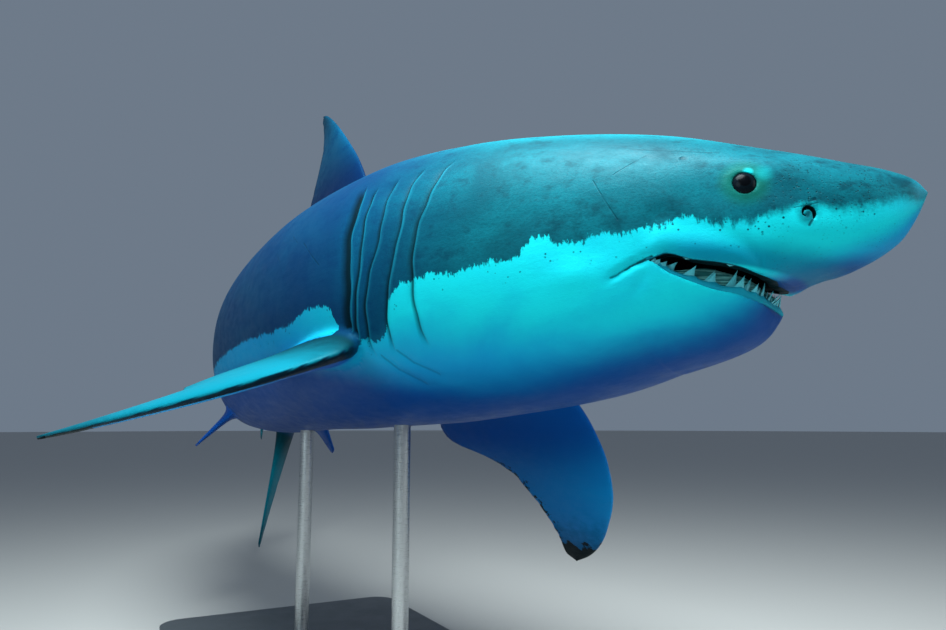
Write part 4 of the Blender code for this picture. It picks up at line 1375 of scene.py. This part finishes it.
teeth = {
    # share of the way from the middle of the jaw to its corner, height of the crown and width in metres,
    # outward lean in degrees, and how far the tip leans to the front as a share of the height
    "lower": ((0.035, 0.031, 0.020, 46, 0.05), (0.120, 0.030, 0.024, 30, 0.15),
              (0.245, 0.036, 0.025, 14, 0.20), (0.345, 0.030, 0.024, 10, 0.25),
              (0.450, 0.034, 0.027, 8, 0.20), (0.620, 0.0265, 0.024, 6, 0.10),
              (0.755, 0.0260, 0.025, 6, 0.25), (0.925, 0.0115, 0.014, 6, 0.15),
              (0.962, 0.0070, 0.010, 4, 0.20), (0.985, 0.0050, 0.007, 2, 0.10)),
    "lowerInner": ((0.070, 0.024, 0.018, 20, 0.10), (0.180, 0.028, 0.020, 18, 0.20),
                   (0.290, 0.024, 0.018, 10, 0.30), (0.385, 0.035, 0.022, 2, 0.25),
                   (0.480, 0.040, 0.026, 4, 0.25), (0.630, 0.031, 0.020, 2, 0.15),
                   (0.885, 0.0215, 0.018, 4, 0.30)),
    "upper": ((0.06, 0.003, 0.020, 4, 0.0), (0.18, 0.003, 0.022, 4, 0.0), (0.30, 0.002, 0.024, 4, -0.1),
              (0.43, 0.001, 0.026, 4, -0.1), (0.555, 0.0065, 0.036, 4, -0.2),
              (0.68, 0.001, 0.024, 4, -0.1), (0.795, 0.0060, 0.034, 4, -0.2)),
    "depth": 0.0070,
    "root": 0.0100,
    "saw": 0.03,                 # share by which the edge steps in and out
    "neck": 0.10,                # share by which it widens over the gum
    "curve": 0.072,              # how far the crown bends outwards, as a share of its height
    "raise": {"lower": 0.0062, "lowerInner": 0.0072, "upper": -0.0030},
    "inset": {"lower": 0.0085, "lowerInner": 0.0180, "upper": 0.0120},
}


# points of one side of a jaw's edge, front to corner, and the upward way at each
def jawLine(jaw, side, inset):
    front = mouth["chinAt"] + 0.0010 if jaw == "lower" else mouth["upperLip"][0][0] + 0.0020
    lip = lowerLipHeight if jaw == "lower" else upperLipHeight
    u = front + (mouth["corner"] - 0.001 - front) * np.linspace(0, 1, 160) ** 1.6
    inner = inset / bodyLength
    y = np.maximum(edgeWidth(u, lip(u)) - inner, 0.0)
    y = y * np.clip((u - front) / 0.0012, 0, 1) ** 0.5
    u = u + inner * np.exp(-y / 0.020)
    return bendPoints(u, y * side, lip(u)), spineFrames(u)[3] @ girdleTurn.T


# places along a jaw with the ways along, out and up
def jawPlaces(jaw, side, shares, inset):
    points, up = jawLine(jaw, side, inset)
    reach = np.concatenate([[0], np.cumsum(np.linalg.norm(np.diff(points, axis=0), axis=1))])
    at = np.asarray(shares) * reach[-1]

    def between(where, rows):
        return np.stack([np.interp(where, reach, rows[:, i]) for i in range(3)], 1)

    along = between(at + 0.004, points) - between(at - 0.004, points)
    along /= np.linalg.norm(along, axis=1)[:, None]
    out = np.cross(along, between(at, up)) * side
    out /= np.linalg.norm(out, axis=1)[:, None]
    return between(at, points), along, out, np.cross(out, along) * side


# a flat three-cornered blade with saw edges on a straight root
def toothMesh(height, width, spot, along, out, up, slant):
    rings, around = 24, 12
    root = teeth["root"]
    low = -root / height

    def place(s, t):
        angle = t * 2 * math.pi
        h = low + (1 - low) * s
        crown = np.clip(h, 0, 1)
        inOut = np.where(np.rint(s * rings) % 2 == 0, 1, -1) * (crown > 0.05) * (crown < 0.93)
        saw = 1 + teeth["saw"] * inOut
        half = 0.5 * width * (1 - crown) ** 1.35 * saw * (1 + teeth["neck"] * bell(h, 0.02, 0.12))
        thick = 0.5 * teeth["depth"] * (1 - crown) ** 0.7
        x = np.cos(angle) * half - slant * height * crown ** 1.4
        bulge = np.where(np.sin(angle) > 0, 0.55, 1.0)
        n = power(np.sin(angle), 1.5) * bulge * thick + teeth["curve"] * height * crown * (1 - crown)
        return spot + x[:, None] * along + n[:, None] * out + (h * height)[:, None] * up

    return closeTube(gridMesh(rings, around, place), 1e-6)


def makeToothMaterial():
    material = newMaterial("toothEnamel")
    where = objectPlace()
    fine = noise(stretched(where, (400, 400, 90)), 1.0, 2.0)
    base = mixColour(noise(where, 60.0, 3.0), (0.050, 0.360, 0.440), (0.110, 0.520, 0.560))
    base = mixColour(span(fine, 0.5, 0.8, 0.0, 0.3), base, (0.020, 0.240, 0.320))
    return finishMaterial(material, base, 0.30, (times(fine, 0.0002), 0.5), tone=(0.30, 0.90, 1.0))


def buildTeeth():
    material = makeToothMaterial()
    draw = np.random.default_rng(7)
    for name, rows, grow in (("lowerTeeth", ("lower", "lowerInner"), 1), ("upperTeeth", ("upper",), -1)):
        bm = bmesh.new()
        for row in rows:
            shares = [spec[0] for spec in teeth[row]]
            for side in (-1, 1):
                places = zip(teeth[row], *jawPlaces(rows[0], side, shares, teeth["inset"][row]))
                for (share, height, width, lean, slant), spot, along, out, up in places:
                    tilt = math.radians(lean + draw.uniform(-3, 3))
                    rise = math.cos(tilt) * up * grow + math.sin(tilt) * out
                    face = math.cos(tilt) * out - math.sin(tilt) * up * grow
                    high = height * draw.uniform(0.95, 1.05)
                    forth = slant + draw.uniform(-0.04, 0.04)
                    root = spot + up * grow * teeth["raise"][row]
                    joinInto(bm, toothMesh(high, width, root, along, face, rise, forth))
        bmesh.ops.recalc_face_normals(bm, faces=bm.faces)
        finishPiece(asObject(name, bm), material, "teeth")


gums = {
    # jaw, inset from the lip, half width and height in metres, how far it follows the jaw, two colours
    "lowerGum": ("lower", 0.0098, 0.0082, 0.0150, 0.97, (0.004, 0.170, 0.260), (0.010, 0.330, 0.440)),
    # the tall fold behind the teeth, highest along the sides
    "lowerFold": ("lower", 0.0280, 0.0085, 0.0400, 0.96, (0.020, 0.130, 0.130), (0.130, 0.420, 0.400)),
    # the upper gum, near black as painted shade under the upper lip
    "shadedUpperGum": ("upper", 0.0270, 0.0110, 0.0030, 0.95, (0.001, 0.008, 0.010), (0.002, 0.014, 0.018)),
}
foldHeight = 0.02                # a ridge over this height is a fold
gumDepth = 0.004


# a soft ridge along a jaw, swelling round the teeth unless it is the tall fold
def gumRidge(jaw, inset, half, high, reach):
    grow = 1 if jaw == "lower" else -1
    tall = high > foldHeight
    steps = 150
    shares = np.linspace(0, reach, steps + 1)
    sides = [jawPlaces(jaw, side, shares, inset) for side in (-1, 1)]

    def place(s, t):
        i = np.rint(s * 2 * steps).astype(int) - steps
        k = np.abs(i)
        spot, out, up = [np.where((i > 0)[:, None], sides[1][j][k], sides[0][j][k]) for j in (0, 2, 3)]
        share = k / steps
        angle = t * 2 * math.pi
        if tall:
            size = 1 - 0.10 * (1 - smoothStep(0.25, 0.55, share)) - 0.85 * smoothStep(0.62, 0.96, share)
            top = high
        else:
            size = 1 - 0.75 * share ** 4
            gaps = np.stack([share - spec[0] for spec in teeth[jaw]], -1)
            top = high * (0.8 + 0.35 * bell(gaps, 0, 0.03).sum(-1))
        n = np.cos(angle) * half * size
        h = power(np.sin(angle), 0.8) * np.where(np.sin(angle) > 0, top, gumDepth) * size
        return spot + n[:, None] * out + (h * grow)[:, None] * up

    return closeTube(gridMesh(2 * steps, 16, place), 1e-6)


def makeGumMaterial(name, deep, pale):
    material = newMaterial(name + "Flesh")
    where = objectPlace()
    if name == "lowerFold":
        pattern = span(noise(stretched(where, (12, 12, 320)), 1.0, 3.0, 0.6), 0.45, 0.60)
    else:
        pattern = noise(where, 40.0, 4.0, 0.6)
    base = mixColour(pattern, deep, pale)
    relief = (times(noise(where, 260.0, 3.0), 0.0008), 0.8)
    return finishMaterial(material, base, 0.50, relief, 0.05, sheen)


def buildGums():
    for name, (jaw, inset, half, high, reach, deep, pale) in gums.items():
        piece = asObject(name, gumRidge(jaw, inset, half, high, reach))
        finishPiece(piece, makeGumMaterial(name, deep, pale), "gums")


stand = {"corner": 0.090, "edge": 0.004, "flangeEdge": 0.003, "screws": 4, "screwRadius": 0.008,
         "screwHigh": 0.003, "screwRing": 0.056, "collarRadius": 0.033, "collarHeight": 0.020,
         "sharpAngle": 32}


def makeBaseMaterial():
    material = newMaterial("standLacquer")
    where = objectPlace()
    cloud = noise(where, 7.0, 4.0)
    base = mixColour(cloud, (0.050, 0.058, 0.064), (0.072, 0.082, 0.088))
    relief = (times(noise(where, 420.0, 3.0), 0.0004), 0.6)
    return finishMaterial(material, base, span(cloud, 0.3, 0.7, 0.40, 0.50), relief)


def makeSteelMaterial():
    material = newMaterial("brushedSteel")
    brushed = noise(stretched(objectPlace(), (40, 40, 900)), 1.0, 3.0)
    base = mixColour(brushed, (0.42, 0.44, 0.45), (0.60, 0.62, 0.63))
    roughness = span(brushed, 0.3, 0.7, 0.26, 0.40)
    return finishMaterial(material, base, roughness, (times(brushed, 0.0002), 0.4), metal=1.0)


def easeEdges(bm, edges, radius, segments=3):
    bmesh.ops.bevel(bm, geom=edges, offset=radius, offset_type="OFFSET", segments=segments, profile=0.5,
                    affect="EDGES", clamp_overlap=True, material=-1)


# rounds the edge of the top face
def easeTop(bm, top, radius):
    easeEdges(bm, [e for e in bm.edges if e.calc_face_angle(0) > 1.2
                   and min(v.co.z for v in e.verts) > top - 1e-4], radius)


def disc(bm, centre, radius, low, high, segments=64):
    made = bmesh.ops.create_cone(bm, cap_ends=True, segments=segments, radius1=radius, radius2=radius,
                                 depth=high - low)
    bmesh.ops.translate(bm, verts=made["verts"], vec=(centre[0], centre[1], (low + high) / 2))


# a round bar that fills a node's box, with its centre and top
def nodeDisc(node):
    low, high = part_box(node)
    centre = (low + high) / 2
    bm = bmesh.new()
    disc(bm, centre, (high.x - low.x) / 2, low.z, high.z)
    return bm, centre, high.z


def finishStand(name, node, bm, material, slot):
    bmesh.ops.recalc_face_normals(bm, faces=bm.faces)
    piece = asObject(name, bm)
    piece.data.set_sharp_from_angle(angle=math.radians(stand["sharpAngle"]))
    finishPiece(piece, material, slot, node)


def buildStand():
    lacquer, steel = makeBaseMaterial(), makeSteelMaterial()
    low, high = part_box("stand_base")
    bm = bmesh.new()
    bmesh.ops.create_cube(bm, size=1.0)
    bmesh.ops.scale(bm, verts=bm.verts, vec=high - low)
    bmesh.ops.translate(bm, verts=bm.verts, vec=(high + low) / 2)
    upright = [e for e in bm.edges if abs(e.verts[0].co.z - e.verts[1].co.z) > 0.01]
    easeEdges(bm, upright, stand["corner"], 14)
    easeTop(bm, high.z, stand["edge"])
    finishStand("standBase", "stand_base", bm, lacquer, "stand_base")
    for place in ("front", "rear"):
        bm, centre, top = nodeDisc("stand_flange_" + place)
        easeTop(bm, top, stand["flangeEdge"])
        for i in range(stand["screws"]):
            turn = (i + 0.5) * 2 * math.pi / stand["screws"]
            at = centre + Vector((math.cos(turn), math.sin(turn), 0)) * stand["screwRing"]
            disc(bm, at, stand["screwRadius"], top - 0.001, top + stand["screwHigh"], 24)
            disc(bm, at, stand["screwRadius"] * 0.45, top + 0.002, top + stand["screwHigh"] + 0.0004, 6)
        finishStand("standFlange" + place.capitalize(), "stand_flange_" + place, bm, steel, "stand_steel")
        bm, centre, _ = nodeDisc("stand_rod_" + place)
        disc(bm, centre, stand["collarRadius"], top, top + stand["collarHeight"])
        finishStand("standRod" + place.capitalize(), "stand_rod_" + place, bm, steel, "stand_steel")


studio = {
    "camera": (2.415, -0.826, 0.80),
    "aim": (-0.8742, 0.4652, 0.1392),
    "lens": 28.58,
    "sensor": 36.0,
    "world": (0.62, 0.78, 1.0),
    "worldStrength": 0.25,
    "floorRadius": 60.0,
    "floorColour": (0.50, 0.485, 0.465),
    # place, target, size, power and tint
    "lights": {
        "keyLight": ((1.45, -0.45, 3.5), (0.9, 0.1, 1.2), 1.7, 250, (0.86, 0.98, 1.0)),
        "sideLight": ((3.2, 1.9, 1.9), (1.3, 0.3, 1.0), 1.6, 24, (0.96, 1.0, 1.0)),
        "fillLight": ((2.2, -3.4, 2.5), (0.9, 0.1, 1.2), 2.2, 70, (0.80, 0.98, 1.0)),
    },
}


# an object placed and turned to look along a way
def aimed(name, data, place, way):
    obj = addObject(name, data)
    obj.location = place
    obj.rotation_euler = Vector(way).to_track_quat("-Z", "Y").to_euler()
    return obj


def setStudio():
    bm = bmesh.new()
    bmesh.ops.create_circle(bm, cap_ends=True, segments=96, radius=studio["floorRadius"])
    floor = asObject("floor", bm, smooth=False)
    dress(floor, finishMaterial(newMaterial("paleFloor"), studio["floorColour"], 0.7))

    world = bpy.data.worlds.new("studioAir")
    world.use_nodes = True
    back = world.node_tree.nodes["Background"]
    back.inputs["Color"].default_value = asColour(studio["world"])
    back.inputs["Strength"].default_value = studio["worldStrength"]
    bpy.context.scene.world = world
    for name, (place, target, size, power, tone) in studio["lights"].items():
        light = bpy.data.lights.new(name, "AREA")
        light.shape = "DISK"
        light.size = size
        light.energy = power
        light.color = tone
        aimed(name, light, place, Vector(target) - Vector(place))

    bpy.context.scene.view_settings.view_transform = "Standard"
    camera = bpy.data.cameras.new("camera")
    camera.lens = studio["lens"]
    camera.sensor_width = studio["sensor"]
    bpy.context.scene.camera = aimed("camera", camera, studio["camera"], studio["aim"])


placeSkin()
print("skin done")
buildEyes()
buildTeeth()
buildGums()
print("head pieces done")
buildStand()
print("stand done")
setStudio()
